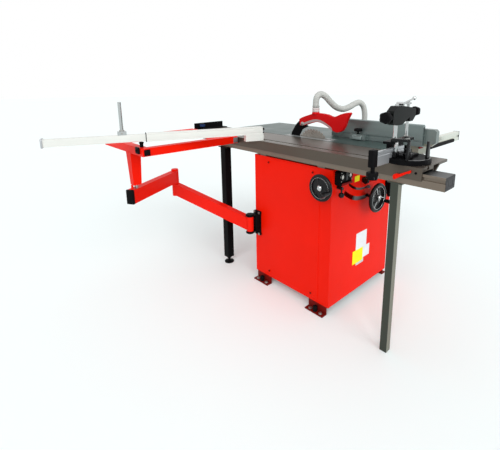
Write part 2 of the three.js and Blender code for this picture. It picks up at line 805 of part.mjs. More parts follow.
function inner_link() {
  const low = (x) => inner_arm_z + ((elbow_arm_z - inner_arm_z) * x) / inner_length - arm_depth * half;
  const start = barrel_radius * half;
  const end = inner_length - elbow_radius * half;
  const side = [
    [start, low(start)], [end, low(end)], [end, low(end) + arm_depth], [start, low(start) + arm_depth],
  ];
  const tube = profile(side, 'y', -arm_width * half, arm_width * half);
  const inside_start = barrel_radius + link_wall;
  const inside_end = inner_length - elbow_radius - link_wall;
  const inside = [
    [inside_start, low(inside_start) + link_wall], [inside_end, low(inside_end) + link_wall],
    [inside_end, low(inside_end) + arm_depth - link_wall],
    [inside_start, low(inside_start) + arm_depth - link_wall],
  ];
  const hollow = profile(inside, 'y', -arm_width * half + link_wall, arm_width * half - link_wall);
  const drain = bar([inner_length * half, 0, low(inner_length * half) - overrun],
    [inner_length * half, 0, low(inner_length * half) + link_wall + overrun], link_wall, 12);
  const barrel = bar([0, 0, barrel_low], [0, 0, barrel_high], barrel_radius, 20);
  const elbow = bar([inner_length, 0, elbow_low], [inner_length, 0, elbow_split], elbow_radius, 20);
  const pin = bar([inner_length, 0, elbow_split], [inner_length, 0, elbow_high - elbow_pin], elbow_pin);
  const bore = bar([0, 0, barrel_low - overrun], [0, 0, barrel_high + overrun], hinge_pin + gap, 24);
  return cut(join(cut(tube, hollow, drain), barrel, elbow, pin), bore);
}

const link_pin = 6;

function outer_link() {
  const z0 = outer_arm_z - arm_depth * half;
  const z1 = outer_arm_z + arm_depth * half;
  const end = outer_length + arm_width * half;
  const tube = block(elbow_radius * half, end, -arm_width * half, arm_width * half, z0, z1);
  const hollow = block(elbow_radius + link_wall, end + overrun, -arm_width * half + link_wall,
    arm_width * half - link_wall, z0 + link_wall, z1 - link_wall);
  const cap = block(end - link_wall * 2, end + link_wall, -arm_width * half + gap,
    arm_width * half - gap, z0 + gap, z1 - gap);
  const drain = bar([outer_length * half, 0, z0 - overrun], [outer_length * half, 0, z0 + link_wall + overrun],
    link_wall, 12);
  const barrel = bar([0, 0, elbow_split + gap], [0, 0, elbow_high], elbow_radius, 20);
  const bore = bar([0, 0, elbow_split - overrun], [0, 0, elbow_high - elbow_pin + gap], elbow_pin + gap,
    24);
  const pin = bar([outer_length, 0, z1 - link_wall], [outer_length, 0, leg_bottom - gap], link_pin, 16);
  return cut(join(cut(tube, hollow, drain), cap, barrel, pin), bore);
}

// Black edging stop across the rear end of the carriage
const stop_front = 1100;
const stop_rear = 1160;
const stop_height = 40;
const stop_plate = 5;

function rear_stop() {
  const x0 = -10;
  const x1 = carriage_right - running_gap;
  const outline = [
    [stop_front, table_top], [stop_rear, table_top], [stop_rear, table_top + stop_height],
    [stop_rear - stop_plate, table_top + stop_height], [stop_rear - stop_plate, table_top + stop_plate],
    [stop_front, table_top + stop_plate],
  ];
  const angle = profile(outline, 'x', x0, x1);
  const knob = turned([[0, 0], [4, 0], [4, 14], [14, 18], [14, 30], [10, 34], [0, 34]].map(
    ([r, h]) => [r, h]), [t_slot_x, (stop_front + stop_rear) * half, table_top + stop_plate], [0, 0, 1], 20);
  return join(angle, knob);
}

// Crosscut fence, drawn square in its own group, with the pivot at the group's origin and -X outwards
const fence_front = -65;
const fence_right = -14;
const fence_wall = 3;
const fence_foot_left = -112;
const fence_foot_right = -10;
const fence_hub = 20;
const fence_stud = 6;
const fence_left = fence_right - fence_main_length;

function crosscut_fence() {
  const foot_bottom = table_top + gap;
  const groove = 4;
  const low_groove = fence_bottom + fence_height * quarter;
  const high_groove = fence_bottom + fence_height - fence_height * quarter;
  const rear = fence_front + fence_thickness;
  const outline = [
    [fence_front, fence_bottom], [rear, fence_bottom], [rear, fence_bottom + fence_height],
    [fence_front, fence_bottom + fence_height],
    [fence_front, high_groove + groove], [fence_front + 1.5, high_groove + groove * half],
    [fence_front, high_groove], [fence_front, low_groove],
    [fence_front + 1.5, low_groove - groove * half], [fence_front, low_groove - groove],
  ];
  const chamber = rectangle(fence_front + fence_wall, rear - fence_wall, fence_bottom + fence_wall,
    fence_bottom + fence_height - fence_wall);
  const rail = profile(outline, 'x', fence_left, fence_right, [chamber]);
  const foot = block(fence_foot_left, fence_foot_right, fence_front, rear, foot_bottom, fence_bottom);
  const tongue = profile([
    [fence_foot_left, rear], ...arc(0, 0, fence_hub, 120, -30, 10), [fence_foot_right, rear],
    [fence_foot_right, rear - fence_wall], [fence_foot_left, rear - fence_wall],
  ], 'z', foot_bottom, fence_bottom);
  const bore = bar([0, 0, table_top - overrun], [0, 0, fence_bottom + overrun], fence_stud + gap, 20);
  return cut(join(rail, foot, tongue), bore);
}

function star_knob(point, axis, radius, height, lobes, stud_radius, stud_length) {
  const rows = [[0, 0], [radius * half, 0], [radius * half, height * quarter], [radius, height * half],
    [radius, height - height / 8], [radius - height / 8, height], [0, height]];
  const up = new THREE.Vector3(...axis);
  let body = turned(rows, point, axis, 12);
  const side = new THREE.Vector3(axis[1] || axis[2] ? 1 : 0, axis[0] ? 1 : 0, 0);
  const other = up.clone().cross(side);
  for (let i = 0; i < lobes; i += 1) {
    const angle = (i / lobes) * 2 * Math.PI;
    const out = side.clone().multiplyScalar(Math.cos(angle)).addScaledVector(other, Math.sin(angle));
    const base = new THREE.Vector3(...point).addScaledVector(out, radius + radius / 8);
    const from = base.clone().addScaledVector(up, height * quarter);
    const to = base.clone().addScaledVector(up, height + overrun);
    body = body.subtract(bar(from.toArray(), to.toArray(), radius / 3, 6));
  }
  const stud_end = new THREE.Vector3(...point).addScaledVector(up, -stud_length);
  if (stud_length > 0) {
    body = body.add(bar(stud_end.toArray(), new THREE.Vector3(...point).addScaledVector(up, gap).toArray(),
      stud_radius, 16));
  }
  return body;
}

function fence_pivot_knob() {
  const washer = 3;
  const head = t_slot_depth - t_slot_lip - gap;
  const base = fence_bottom + gap;
  const knob = star_knob([0, 0, base + washer], [0, 0, 1], fence_hub - 2 * gap, 24, 5, fence_stud,
    base + washer - table_top + t_slot_lip + gap + head * half);
  const disc = bar([0, 0, base], [0, 0, base + washer], fence_hub - gap * 2, 24);
  const slot_head = block(-t_slot_mouth * half, t_slot_mouth * half, -t_slot_mouth * half,
    t_slot_mouth * half, table_top - t_slot_lip - head, table_top - t_slot_lip - gap);
  return join(knob, disc, slot_head);
}

const extension_gap = 0.4;
const extension_wall = 2.5;
const cap_length = 5;

function fence_extension() {
  const inset = fence_wall + extension_gap;
  const front = fence_front + inset;
  const rear = fence_front + fence_thickness - inset;
  const low = fence_bottom + inset;
  const high = fence_bottom + fence_height - inset;
  const left = fence_left - fence_extension_shown;
  const right = left + fence_extension_length;
  const chamber = rectangle(front + extension_wall, rear - extension_wall, low + extension_wall,
    high - extension_wall);
  const tube = profile(rectangle(front, rear, low, high), 'x', left, right, [chamber]);
  const cap = block(left - cap_length, left, fence_front, fence_front + fence_thickness,
    fence_bottom, fence_bottom + fence_height);
  return join(tube, cap);
}

const post_left = 106;
const post_radius = 8;
const post_top = 1078;
const post_block = 20;
const post_block_height = 18;

function fence_post() {
  const top = fence_bottom + fence_height - fence_wall - extension_gap + gap;
  const x = fence_left - post_left;
  const y = fence_front + fence_thickness * half;
  const clamp = block(x - post_block, x + post_block, fence_front + fence_wall, y + post_block * half + fence_wall,
    top, top + post_block_height);
  const edge = 2;
  const length = post_top - top - post_block_height;
  const rod = turned([[0, -edge], [post_radius, -edge], [post_radius, length - edge],
    [post_radius - edge, length], [0, length]], [x, y, top + post_block_height], [0, 0, 1], 20);
  return join(clamp, rod);
}

// Mitre gauge: everything about its swivel, in a group whose origin is the disc's middle
function mitre_base() {
  const bevel = 4;
  const top = mitre_base_height - gap;
  const rows = [[0, 0], [mitre_base_radius, 0], [mitre_base_radius, top - bevel],
    [mitre_base_radius - bevel, top], [0, top]];
  return turned(rows, [0, 0, table_top], [0, 0, 1], 36);
}

const head_left = -48;
const head_right = 48;
const head_front = -25;
const head_bar_left = -78;
const head_bar_right = 109;
const head_bar_low = 923;
const head_bar_high = 933;
const fence_y = mitre_fence_y - mitre_y;
const mitre_fence_thickness = 12;

function mitre_head() {
  const low = table_top + mitre_base_height;
  const rear = fence_y + mitre_fence_thickness;
  const side = [
    [head_front, low], [rear + 26, low], [rear + 26, head_bar_low], [rear, head_bar_low],
    [rear, low + 10], [fence_y - 10, low + 10], [head_front, low + 10],
  ];
  const web = profile(side, 'x', head_left, head_right);
  const grip = bar([0, 0, low], [0, 0, low + 30], 15, 24);
  const top_bar = block(head_bar_left, head_bar_right, fence_y - 4, rear + 26, head_bar_low, head_bar_high);
  return join(cut(web, block(head_left - overrun, head_right + overrun, fence_y - gap, rear + gap,
    low + 10 - gap, head_bar_low - gap)), grip, top_bar);
}

function mitre_fence() {
  const x0 = mitre_fence_left - mitre_x;
  const x1 = mitre_fence_right - mitre_x;
  const low = table_top + 2;
  const high = table_top + mitre_fence_height;
  const step = table_top + mitre_base_height + 10 + gap;
  const notch_left = -Math.sqrt(mitre_base_radius ** 2 - fence_y ** 2) - 3;
  const front = fence_y;
  const rear = fence_y + mitre_fence_thickness;
  const outline = [
    [front, low], [rear, low], [rear, high], [front, high], [front, high - 12],
    [front + 2, high - 14], [front + 2, high - 17], [front, high - 19],
  ];
  const rail = profile(outline, 'x', x0, x1);
  const notch = block(notch_left, x1 + overrun, front - overrun, rear + overrun, low - overrun,
    table_top + mitre_base_height + gap);
  const head_notch = block(head_left - gap, x1 + overrun, front - overrun, rear + overrun,
    low - overrun, step);
  const cap = block(x0 - 29, x0, front - 4, rear + 4, low + 2, high + 9);
  const grip = star_knob([x0 - 12, front + 6, low + 2 - 22], [0, 0, -1], 22, 26, 5, 5, 24);
  return join(cut(rail, notch, head_notch), cap, grip);
}

// Hold-down clamp on the mitre head
const clamp_x = -56;
const clamp_y = 31;
const clamp_post_radius = 8;
const clamp_post_top = 1082;
const arm_low = 1000;
const arm_high = 1060;
const arm_left = -109;
const arm_right = 81;
const spindle_x = 42;

function clamp_post() {
  const length = clamp_post_top - head_bar_high;
  return turned([[0, 0], [clamp_post_radius + 5, 0], [clamp_post_radius + 5, 8], [clamp_post_radius, 10],
    [clamp_post_radius, length - 2], [clamp_post_radius - 2, length], [0, length]],
  [clamp_x, clamp_y, head_bar_high], [0, 0, 1], 20);
}

function clamp_arm() {
  const outline = [
    [arm_left, arm_low + 8], [clamp_x - 22, arm_low], [clamp_x + 24, arm_low], [spindle_x - 14, arm_high - 34],
    [spindle_x - 14, arm_low + 8], [spindle_x + 14, arm_low + 8], [arm_right, arm_high - 32],
    [arm_right, arm_high - 6], [arm_right - 8, arm_high], [clamp_x + 20, arm_high + 14],
    [clamp_x - 20, arm_high + 14], [arm_left + 6, arm_high - 4], [arm_left, arm_high - 12],
  ];
  const body = profile(outline, 'y', clamp_y - 16, clamp_y + 16);
  const post_bore = bar([clamp_x, clamp_y, arm_low - overrun], [clamp_x, clamp_y, arm_high + 30],
    clamp_post_radius + gap, 24);
  const spindle_bore = bar([spindle_x, clamp_y, arm_low - overrun], [spindle_x, clamp_y, arm_high + 30],
    spindle_radius + gap, 20);
  const side_knob = star_knob([arm_left - 16, clamp_y, arm_low + 33], [-1, 0, 0], 22, 24, 5, 6, 20);
  const end_knob = star_knob([arm_right + 16, clamp_y, arm_high - 16], [1, 0, 0], 19, 22, 5, 5, 18);
  return join(cut(body, post_bore, spindle_bore), side_knob, end_knob);
}

const spindle_radius = 6;
const shoe_radius = 15;

function clamp_spindle() {
  const low = head_bar_high + gap;
  const rows = [[0, 0], [shoe_radius, 0], [shoe_radius, 6], [spindle_radius, 14],
    [spindle_radius, arm_high + 26 - low], [0, arm_high + 26 - low]];
  const screw_rod = turned(rows, [spindle_x, clamp_y, low], [0, 0, 1], 20);
  const tee = bar([spindle_x - 20, clamp_y, arm_high + 20], [spindle_x + 20, clamp_y, arm_high + 20], 4, 12);
  return join(screw_rod, tee);
}

const lever_offset = 15;

function clamp_lever() {
  const x = clamp_x + 20;
  const y = clamp_y - lever_offset;
  const hub = bar([x, y - 5, arm_high + 22], [x, clamp_y + 10, arm_high + 22], 7.5, 20);
  const rod = bar([x, y, arm_high + 22], [x + 92, y, arm_high + 40], 4, 14);
  const ball = new THREE.SphereGeometry(8, 12, 7);
  ball.translate(x + 94, y, arm_high + 40.5);
  return join(hub, rod, solid(ball));
}

// A spoked handwheel about an axis, with its shaft, its crank pin and a dished web of spokes
function handwheel(centre, axis, radius, shaft_length, crank_angle) {
  const up = new THREE.Vector3(...axis);
  const side = new THREE.Vector3(0, 0, 1);
  const other = up.clone().cross(side);
  const ring_radius = radius - wheel_rim;
  const ring = [];
  for (let i = 0; i <= 5; i += 1) {
    const t = (i / 5) * 2 * Math.PI;
    ring.push([ring_radius + wheel_rim * Math.cos(t), wheel_rim * Math.sin(t)]);
  }
  let wheel = turned(ring, centre, axis, 24);
  const hub_radius = shaft_radius * 2;
  const hub_rows = [[0, -wheel_rim * 2], [hub_radius, -wheel_rim * 2], [hub_radius, wheel_rim],
    [hub_radius * half, wheel_rim + 5], [0, wheel_rim + 5]];
  wheel = wheel.add(turned(hub_rows, centre, axis, 12));
  const middle = new THREE.Vector3(...centre);
  const spokes = 3;
  for (let i = 0; i < spokes; i += 1) {
    const angle = crank_angle + (i / spokes) * 2 * Math.PI;
    const out = side.clone().multiplyScalar(Math.cos(angle)).addScaledVector(other, Math.sin(angle));
    const from = middle.clone().addScaledVector(up, -wheel_rim * half);
    const to = middle.clone().addScaledVector(out, ring_radius);
    wheel = wheel.add(bar(from.toArray(), to.toArray(), wheel_rim, 8, wheel_rim * half + 1));
  }
  const shaft_end = middle.clone().addScaledVector(up, -shaft_length);
  wheel = wheel.add(bar(shaft_end.toArray(), centre, shaft_radius));
  const crank = side.clone().multiplyScalar(Math.cos(crank_angle)).addScaledVector(other, Math.sin(crank_angle));
  const pin_base = middle.clone().addScaledVector(crank, ring_radius);
  const pin_tip = pin_base.clone().addScaledVector(up, grip_start + grip_length + 3);
  const head_tip = pin_tip.clone().addScaledVector(up, 3);
  return wheel.add(bar(pin_base.toArray(), pin_tip.toArray(), crank_pin, 14))
    .add(bar(pin_tip.toArray(), head_tip.toArray(), crank_pin * 2, 14));
}

const crank_pin = 4;
const grip_start = 9;
const grip_length = 62;

function crank_grip(centre, axis, radius, crank_angle) {
  const up = new THREE.Vector3(...axis);
  const side = new THREE.Vector3(0, 0, 1);
  const other = up.clone().cross(side);
  const crank = side.clone().multiplyScalar(Math.cos(crank_angle)).addScaledVector(other, Math.sin(crank_angle));
  const base = new THREE.Vector3(...centre).addScaledVector(crank, radius - wheel_rim)
    .addScaledVector(up, grip_start);
  const bore = crank_pin + gap;
  const rows = [[bore, 0], [9, 0], [10, 8], [12.5, grip_length - 16], [11, grip_length - 4],
    [8, grip_length], [bore, grip_length], [bore, 0]];
  return turned(rows, base.toArray(), axis, 20);
}

// Tilt cradle: two end plates, a side plate with a guide, and a toothed quadrant over the worm
const front_plate_y = 8;
const rear_plate_y = 516;
const end_plate = 10;
const plate_inner = 80;
const plate_outer = 300;
const plate_step = 160;
const plate_spread = 16;
const quadrant_depth = 26;
const quadrant_y = 24;
const quadrant_width = 12;
const quadrant_tooth = 5;
const side_plate_x = 330;
const side_plate = 12;
const side_plate_front = 296;
const side_plate_low = 600;
const side_plate_high = 772;
const window_front = 318;
const window_rear = 388;
const window_low = 680;
const guide_front = 298;
const guide_rear = 398;
const guide_width = 10;
const guide_depth = 24;
const guide_lip = 6;
const guide_low = 630;
const long_bar = 16;
const elevation_angle = main_slot_start;
const elevation_shaft = tilt_point(main_slot_radius, elevation_angle);

function sector(inner, outer, from, to, y0, y1, count = 7) {
  const middle = (inner + outer) * half;
  return profile(arc_band(blade_x, table_top, middle, outer - inner, down(to), down(from), false, count),
    'y', y0, y1);
}

function quadrant() {
  const from = -tilt_range - 8;
  const to = 8;
  const root = quadrant_radius - quadrant_tooth;
  const body = sector(quadrant_radius - quadrant_depth, root, from, to,
    quadrant_y, quadrant_y + quadrant_width, 12);
  const pitch = 5;
  const teeth = [];
  for (let angle = from + pitch * quarter; angle < to - pitch * quarter; angle += pitch) {
    const points = [[root - 1, angle], [root - 1, angle + pitch * 0.7], [quadrant_radius, angle + pitch * 0.5],
      [quadrant_radius, angle + pitch * 0.2]].map(([r, a]) => tilt_point(r, a));
    teeth.push(profile(points, 'y', quadrant_y, quadrant_y + quadrant_width));
  }
  return join(body, ...teeth);
}

function tilt_cradle() {
  const front_y = [front_plate_y, front_plate_y + end_plate];
  const rear_y = [rear_plate_y, rear_plate_y + end_plate];
  const upper = sector(plate_inner, plate_step, -2 * plate_spread, plate_spread, ...front_y);
  const lower = sector(plate_step - overrun, plate_outer, -plate_spread, plate_spread, ...front_y);
  const rear = sector(plate_inner, plate_outer - long_bar * 2, -plate_spread - 6, plate_spread, ...rear_y);
  const quadrant_web = sector(quadrant_radius - quadrant_depth, quadrant_radius - quadrant_tooth * 2,
    -plate_spread, 8, front_plate_y, quadrant_y + 1);
  const trunnion_pins = [0, pin_spread].flatMap((angle) => {
    const [x, z] = tilt_point(pin_circle, angle);
    return [bar([x, front_plate_y, z], [x, trunnion_front + trunnion_thickness + 2, z], pin_radius),
      bar([x, rear_plate_y, z], [x, trunnion_rear + trunnion_thickness, z], pin_radius)];
  });
  const [lock_x, lock_z] = tilt_point(lock_slot_radius, lock_slot_start);
  const lock_stud = bar([lock_x, -14, lock_z], [lock_x, front_plate_y + 1, lock_z], 5, 16);
  const lock_nut = profile(arc(lock_x, lock_z, 9, 0, 300, 5), 'y', -12, -4);
  const plate_rear = rear_plate_y + 1;
  const side_outline = rectangle(side_plate_front, plate_rear, side_plate_low, side_plate_high);
  const window = rectangle(window_front, window_rear, window_low, side_plate_high - long_bar);
  const side = cut(profile(side_outline, 'x', side_plate_x, side_plate_x + side_plate, [window]),
    block(side_plate_x - 1, side_plate_x + side_plate + 1, window_front, window_rear,
      side_plate_high - long_bar - 1, side_plate_high + 1));
  const guides = [[guide_front, 1], [guide_rear, -1]].map(([y, way]) => {
    const inner = way > 0 ? y + guide_width : y;
    const rib = block(side_plate_x - guide_depth, side_plate_x + 1, y, y + guide_width,
      guide_low, side_plate_high);
    const lip = block(side_plate_x - guide_depth, side_plate_x - guide_depth + guide_lip,
      inner - way, inner + way * guide_lip, guide_low, side_plate_high);
    return join(rib, lip);
  });
  const low_bar = block(side_plate_x - 4, side_plate_x + side_plate, front_plate_y + 1,
    side_plate_front + 1, 588, 588 + long_bar + 6);
  const high_bar = block(side_plate_x, side_plate_x + side_plate, front_plate_y + 1,
    side_plate_front + 1, 722, 722 + long_bar);
  const body = join(upper, lower, rear, quadrant_web, quadrant(), ...trunnion_pins, side, ...guides,
    low_bar, high_bar);
  const shaft_bore = bar([elevation_shaft[0], -overrun, elevation_shaft[1]],
    [elevation_shaft[0], front_plate_y + end_plate + overrun, elevation_shaft[1]], shaft_radius + gap, 20);
  return join(cut(body, shaft_bore), lock_stud, lock_nut);
}

// Worm on the tilt handwheel's shaft, under the quadrant
const worm_left = 250;
const worm_right = 318;
const worm_turns = 3;

function worm() {
  const core = worm_radius - 2.5;
  class Thread extends THREE.Curve {
    getPoint(t, target = new THREE.Vector3()) {
      const angle = t * worm_turns * 2 * Math.PI;
      return target.set(worm_left + 3 + t * (worm_right - worm_left - 6),
        tilt_shaft_y + core * Math.cos(angle), tilt_shaft_z + core * Math.sin(angle));
    }
  }
  const section = shape_of([[-2.5, -1.5], [2.5, -1.5], [2.5, 1.5], [-2.5, 1.5]]);
  const ridge = new THREE.ExtrudeGeometry(section, {
    extrudePath: new Thread(), steps: worm_turns * 8, bevelEnabled: false,
  });
  const body = bar([worm_left, tilt_shaft_y, tilt_shaft_z], [worm_right, tilt_shaft_y, tilt_shaft_z], core, 8);
  return join(body, solid(ridge));
}

// Elevating unit: slide block, arbor housing, motor and the bracket under the knife
const block_left = 293;
const block_low = 700;
const block_high = 800;
const housing_radius = 26;
const arbor_z = table_top + blade_height - blade_radius;
const motor_z = 633;
const motor_radius = 60;
const motor_left = 378;
const motor_right = 532;
const belt_left = 352;
const belt_width = 20;
const pulley_radius = 24;
const motor_pulley_radius = 30;
const rack_front = 262;
const rack_rear = 290;
const rack_low = 530;
const pinion_radius = 12;
const knife_thickness = 2;
const knife_left = blade_x - knife_thickness * half;

function drive_unit() {
  const slot_gap = running_gap * quarter;
  const inner_front = guide_front + guide_width;
  const core = block(block_left, side_plate_x - slot_gap, inner_front + guide_lip + slot_gap,
    guide_rear - guide_lip - slot_gap, block_low, block_high);
  const wide = block(side_plate_x - guide_depth + guide_lip + slot_gap, side_plate_x - slot_gap,
    inner_front + slot_gap, guide_rear - slot_gap, block_low, block_high);
  const housing = bar([block_left, blade_y, arbor_z], [side_plate_x + side_plate + 8, blade_y, arbor_z],
    housing_radius, 20);
  const plate_x = side_plate_x + side_plate + running_gap;
  const plate_width = belt_left - plate_x - running_gap;
  const motor_plate = block(plate_x, plate_x + plate_width, blade_y - motor_radius - 8,
    blade_y + motor_radius + 8, motor_z - 66, motor_z + 66);
  const neck = block(plate_x, plate_x + plate_width, blade_y - housing_radius, blade_y + housing_radius,
    motor_z, arbor_z);
  const pads = [-1, 1].map((side) => block(plate_x, motor_left + 26,
    blade_y + side * (motor_radius - 2), blade_y + side * (motor_radius + 8), motor_z - 26, motor_z + 26));
  const rows = [[0, 0], [motor_radius - 4, 0], [motor_radius - 4, 8]];
  for (let i = 0; i < 3; i += 1) {
    const start = 14 + i * 42;
    rows.push([motor_radius, start], [motor_radius, start + 22], [motor_radius - 4, start + 23],
      [motor_radius - 4, start + 31]);
  }
  const length = motor_right - motor_left;
  rows.push([motor_radius - 4, length - 12], [motor_radius - 12, length], [0, length]);
  const motor = turned(rows, [motor_left, blade_y, motor_z], [1, 0, 0], 18);
  const arm = block(block_left, block_left + 12, guide_rear - guide_width * 2, 514, 740, 776);
  const pad = block(knife_left + knife_thickness, block_left + 1, 488, 514, 745, 773);
  const rack_arm = block(block_left, block_left + 12, rack_front, inner_front + 20, block_low,
    block_low + 24);
  const rack_face = elevation_shaft[0] - pinion_radius - 1;
  const rack = block(block_left, rack_face - 3, rack_front, rack_rear, rack_low, block_low + 4);
  const teeth = [];
  const rack_pitch = 8;
  for (let z = rack_low + 4; z < block_low - rack_pitch; z += rack_pitch) {
    teeth.push(profile([[rack_face - 4, z - 3.2], [rack_face, z - 1], [rack_face, z + 1],
      [rack_face - 4, z + 3.2]], 'y', rack_front, rack_rear));
  }
  const bore = bar([block_left - overrun, blade_y, arbor_z],
    [side_plate_x + side_plate + 40, blade_y, arbor_z], arbor_radius + gap, 20);
  return cut(join(core, wide, housing, motor_plate, neck, ...pads, motor, arm, pad, rack_arm,
    rack, ...teeth), bore);
}

function pulley_rows(radius, width) {
  const lip = 2;
  const groove = 4;
  const rows = [[0, 0], [radius + lip, 0], [radius + lip, lip], [radius, lip]];
  const middle = width * half;
  rows.push([radius, middle - groove], [radius - groove * half, middle], [radius, middle + groove]);
  rows.push([radius, width - lip], [radius + lip, width - lip], [radius + lip, width], [0, width]);
  return rows;
}

function arbor() {
  const face = blade_x + blade_thickness * half;
  const flange = 6;
  const shaft = bar([blade_x - 16, blade_y, arbor_z], [belt_left + belt_width, blade_y, arbor_z], arbor_radius, 16);
  const inner = bar([face, blade_y, arbor_z], [face + flange, blade_y, arbor_z], 25, 18);
  const outer = bar([face - blade_thickness - flange, blade_y, arbor_z],
    [face - blade_thickness, blade_y, arbor_z], 20, 18);
  const nut = profile(arc(blade_y, arbor_z, 13, 0, 300, 5), 'x', blade_x - 14, face - blade_thickness - flange + 1);
  const pulley = turned(pulley_rows(pulley_radius, belt_width), [belt_left, blade_y, arbor_z], [1, 0, 0], 18);
  return join(shaft, inner, outer, nut, pulley);
}

function motor_pulley() {
  const pulley = turned(pulley_rows(motor_pulley_radius, belt_width), [belt_left, blade_y, motor_z],
    [1, 0, 0], 18);
  const shaft = bar([belt_left, blade_y, motor_z], [motor_left - gap, blade_y, motor_z], arbor_radius, 20);
  return join(pulley, shaft);
}

function drive_belt() {
  const distance = arbor_z - motor_z;
  const track = (extra) => {
    const top = pulley_radius + extra;
    const bottom = motor_pulley_radius + extra;
    const lean = Math.asin((bottom - top) / distance) / deg;
    return [...arc(blade_y, arbor_z, top, lean, 180 - lean, 14),
      ...arc(blade_y, motor_z, bottom, 180 - lean, 360 + lean, 16)];
  };
  const thickness = 5;
  const edge = 3;
  return profile(track(thickness), 'x', belt_left + edge, belt_left + belt_width - edge, [track(gap)]);
}

function saw_blade() {
  const points = [];
  const pitch = 360 / blade_teeth;
  for (let i = 0; i < blade_teeth; i += 1) {
    const at = i * pitch;
    const tooth = [[blade_radius, at], [blade_radius - 1, at + pitch * 0.35],
      [blade_radius - tooth_depth, at + pitch * 0.6], [blade_radius - tooth_depth, at + pitch * 0.85]];
    for (const [r, angle] of tooth) {
      points.push([blade_y + r * Math.cos(angle * deg), arbor_z + r * Math.sin(angle * deg)]);
    }
  }
  const hole = arc(blade_y, arbor_z, arbor_radius + gap * half * 3, 0, 340, 17);
  return profile(points, 'x', blade_x - blade_thickness * half, blade_x + blade_thickness * half, [hole]);
}

// Riving knife and the guard that it carries
const guard_pivot_y = 425;
const guard_pivot_z = 924;
const guard_pin = 4;
const guard_half = 12;
const guard_wall = 4;
const spout_y = 337;
const spout_radius = 16;
const spout_top = 1021;

function riving_knife() {
  const outline = [
    [514, 745], [514, 822], [526, 840], [523, 863], [488, 915], [452, 948], [420, 931], [388, 912], [434, 890],
    [457, 852], [470, 826], [480, 800], [487, 770], [488, 745],
  ];
  const hole = arc(guard_pivot_y, guard_pivot_z, guard_pin + gap, 0, 330, 11);
  return profile(outline, 'x', knife_left, knife_left + knife_thickness, [hole]);
}

function blade_guard() {
  const crown = [[455, 950], [420, 966], [390, 976], [352, 988], [317, 993], [280, 992], [246, 988],
    [225, 981], [205, 978], [165, 994], [123, 1006], [104, 1008], [98, 1003]];
  const mouth = [[108, 985], [120, 963], [130, 934], [142, 913], [161, 900], [187, 897], [222, 911],
    [246, 924], [271, 934], [315, 943], [365, 932], [419, 914], [446, 914]];
  const x0 = blade_x - guard_half;
  const x1 = blade_x + guard_half;
  const shell = profile([...crown, ...mouth], 'x', x0, x1);
  const cavity = profile([[150, 880], [150, 984], [205, 970], [225, 973], [246, 980], [317, 986],
    [372, 978], [372, 880]], 'x', x0 + guard_wall, x1 - guard_wall);
  const slot = profile(rectangle(376, 470, 880, 990), 'x', knife_left - 0.8, knife_left + knife_thickness + 0.8);
  const spout = bar([blade_x, spout_y, 980], [blade_x, spout_y, spout_top], spout_radius + 2, 24);
  const spout_bore = bar([blade_x, spout_y, 960], [blade_x, spout_y, spout_top + overrun], spout_radius - 1, 24,
    spout_radius - 1);
  const pin = bar([x0 - 2, guard_pivot_y, guard_pivot_z], [x1 + 2, guard_pivot_y, guard_pivot_z], guard_pin);
  const heads = [[x0 - 4, x0], [x1, x1 + 4]].map(([a, b]) => bar(
    [a, guard_pivot_y, guard_pivot_z], [b, guard_pivot_y, guard_pivot_z], guard_pin * 2, 16));
  return join(cut(join(shell, spout), cavity, slot, spout_bore), pin, ...heads);
}

// Rip fence: a tall aluminium profile, its cast carrier with the head on the rail, its lever and knob
const rip_bottom = table_top + 2;
const rip_top = rip_bottom + rip_height;
const carrier_thickness = 34;
const head_block_left = 418;
const head_block_right = 536;
const head_block_front = -212;
const head_block_rear = rail_front - 2;
const head_block_low = 794;
const head_block_high = 864;

function rip_fence() {
  const x = rip_face_x;
  const groove = 3;
  const outline = [
    [x, rip_bottom], [x + rip_thickness, rip_bottom], [x + rip_thickness, rip_top - 8],
    [x + rip_thickness - 8, rip_top], [x + 4, rip_top], [x, rip_top - 4],
    [x, rip_bottom + 30], [x + groove, rip_bottom + 28], [x + groove, rip_bottom + 25],
    [x, rip_bottom + 23],
  ];
  const chamber = rectangle(x + 7, x + rip_thickness - 4, rip_bottom + 5, rip_bottom + rip_height * half - 3);
  const upper = rectangle(x + 7, x + rip_thickness - 4, rip_bottom + rip_height * half + 3, rip_top - 12);
  const rail = profile(outline, 'y', rip_front, rip_rear, [chamber, upper]);
  const bracket = block(x - 30, x + 1, 70, 166, rip_bottom + gap, rip_bottom + 31);
  return join(rail, bracket);
}

const rip_knob_y = 118;

function rip_knob() {
  const x = rip_face_x - 20;
  const low = rip_bottom + 31 + gap;
  const stem = bar([x, rip_knob_y, low], [x, rip_knob_y, low + 18], 5, 16);
  const collar = bar([x, rip_knob_y, low], [x, rip_knob_y, low + 4], 8, 16);
  const grip = bar([x, rip_knob_y - 18, low + 24], [x, rip_knob_y + 18, low + 24], 7, 14);
  return join(stem, collar, grip);
}

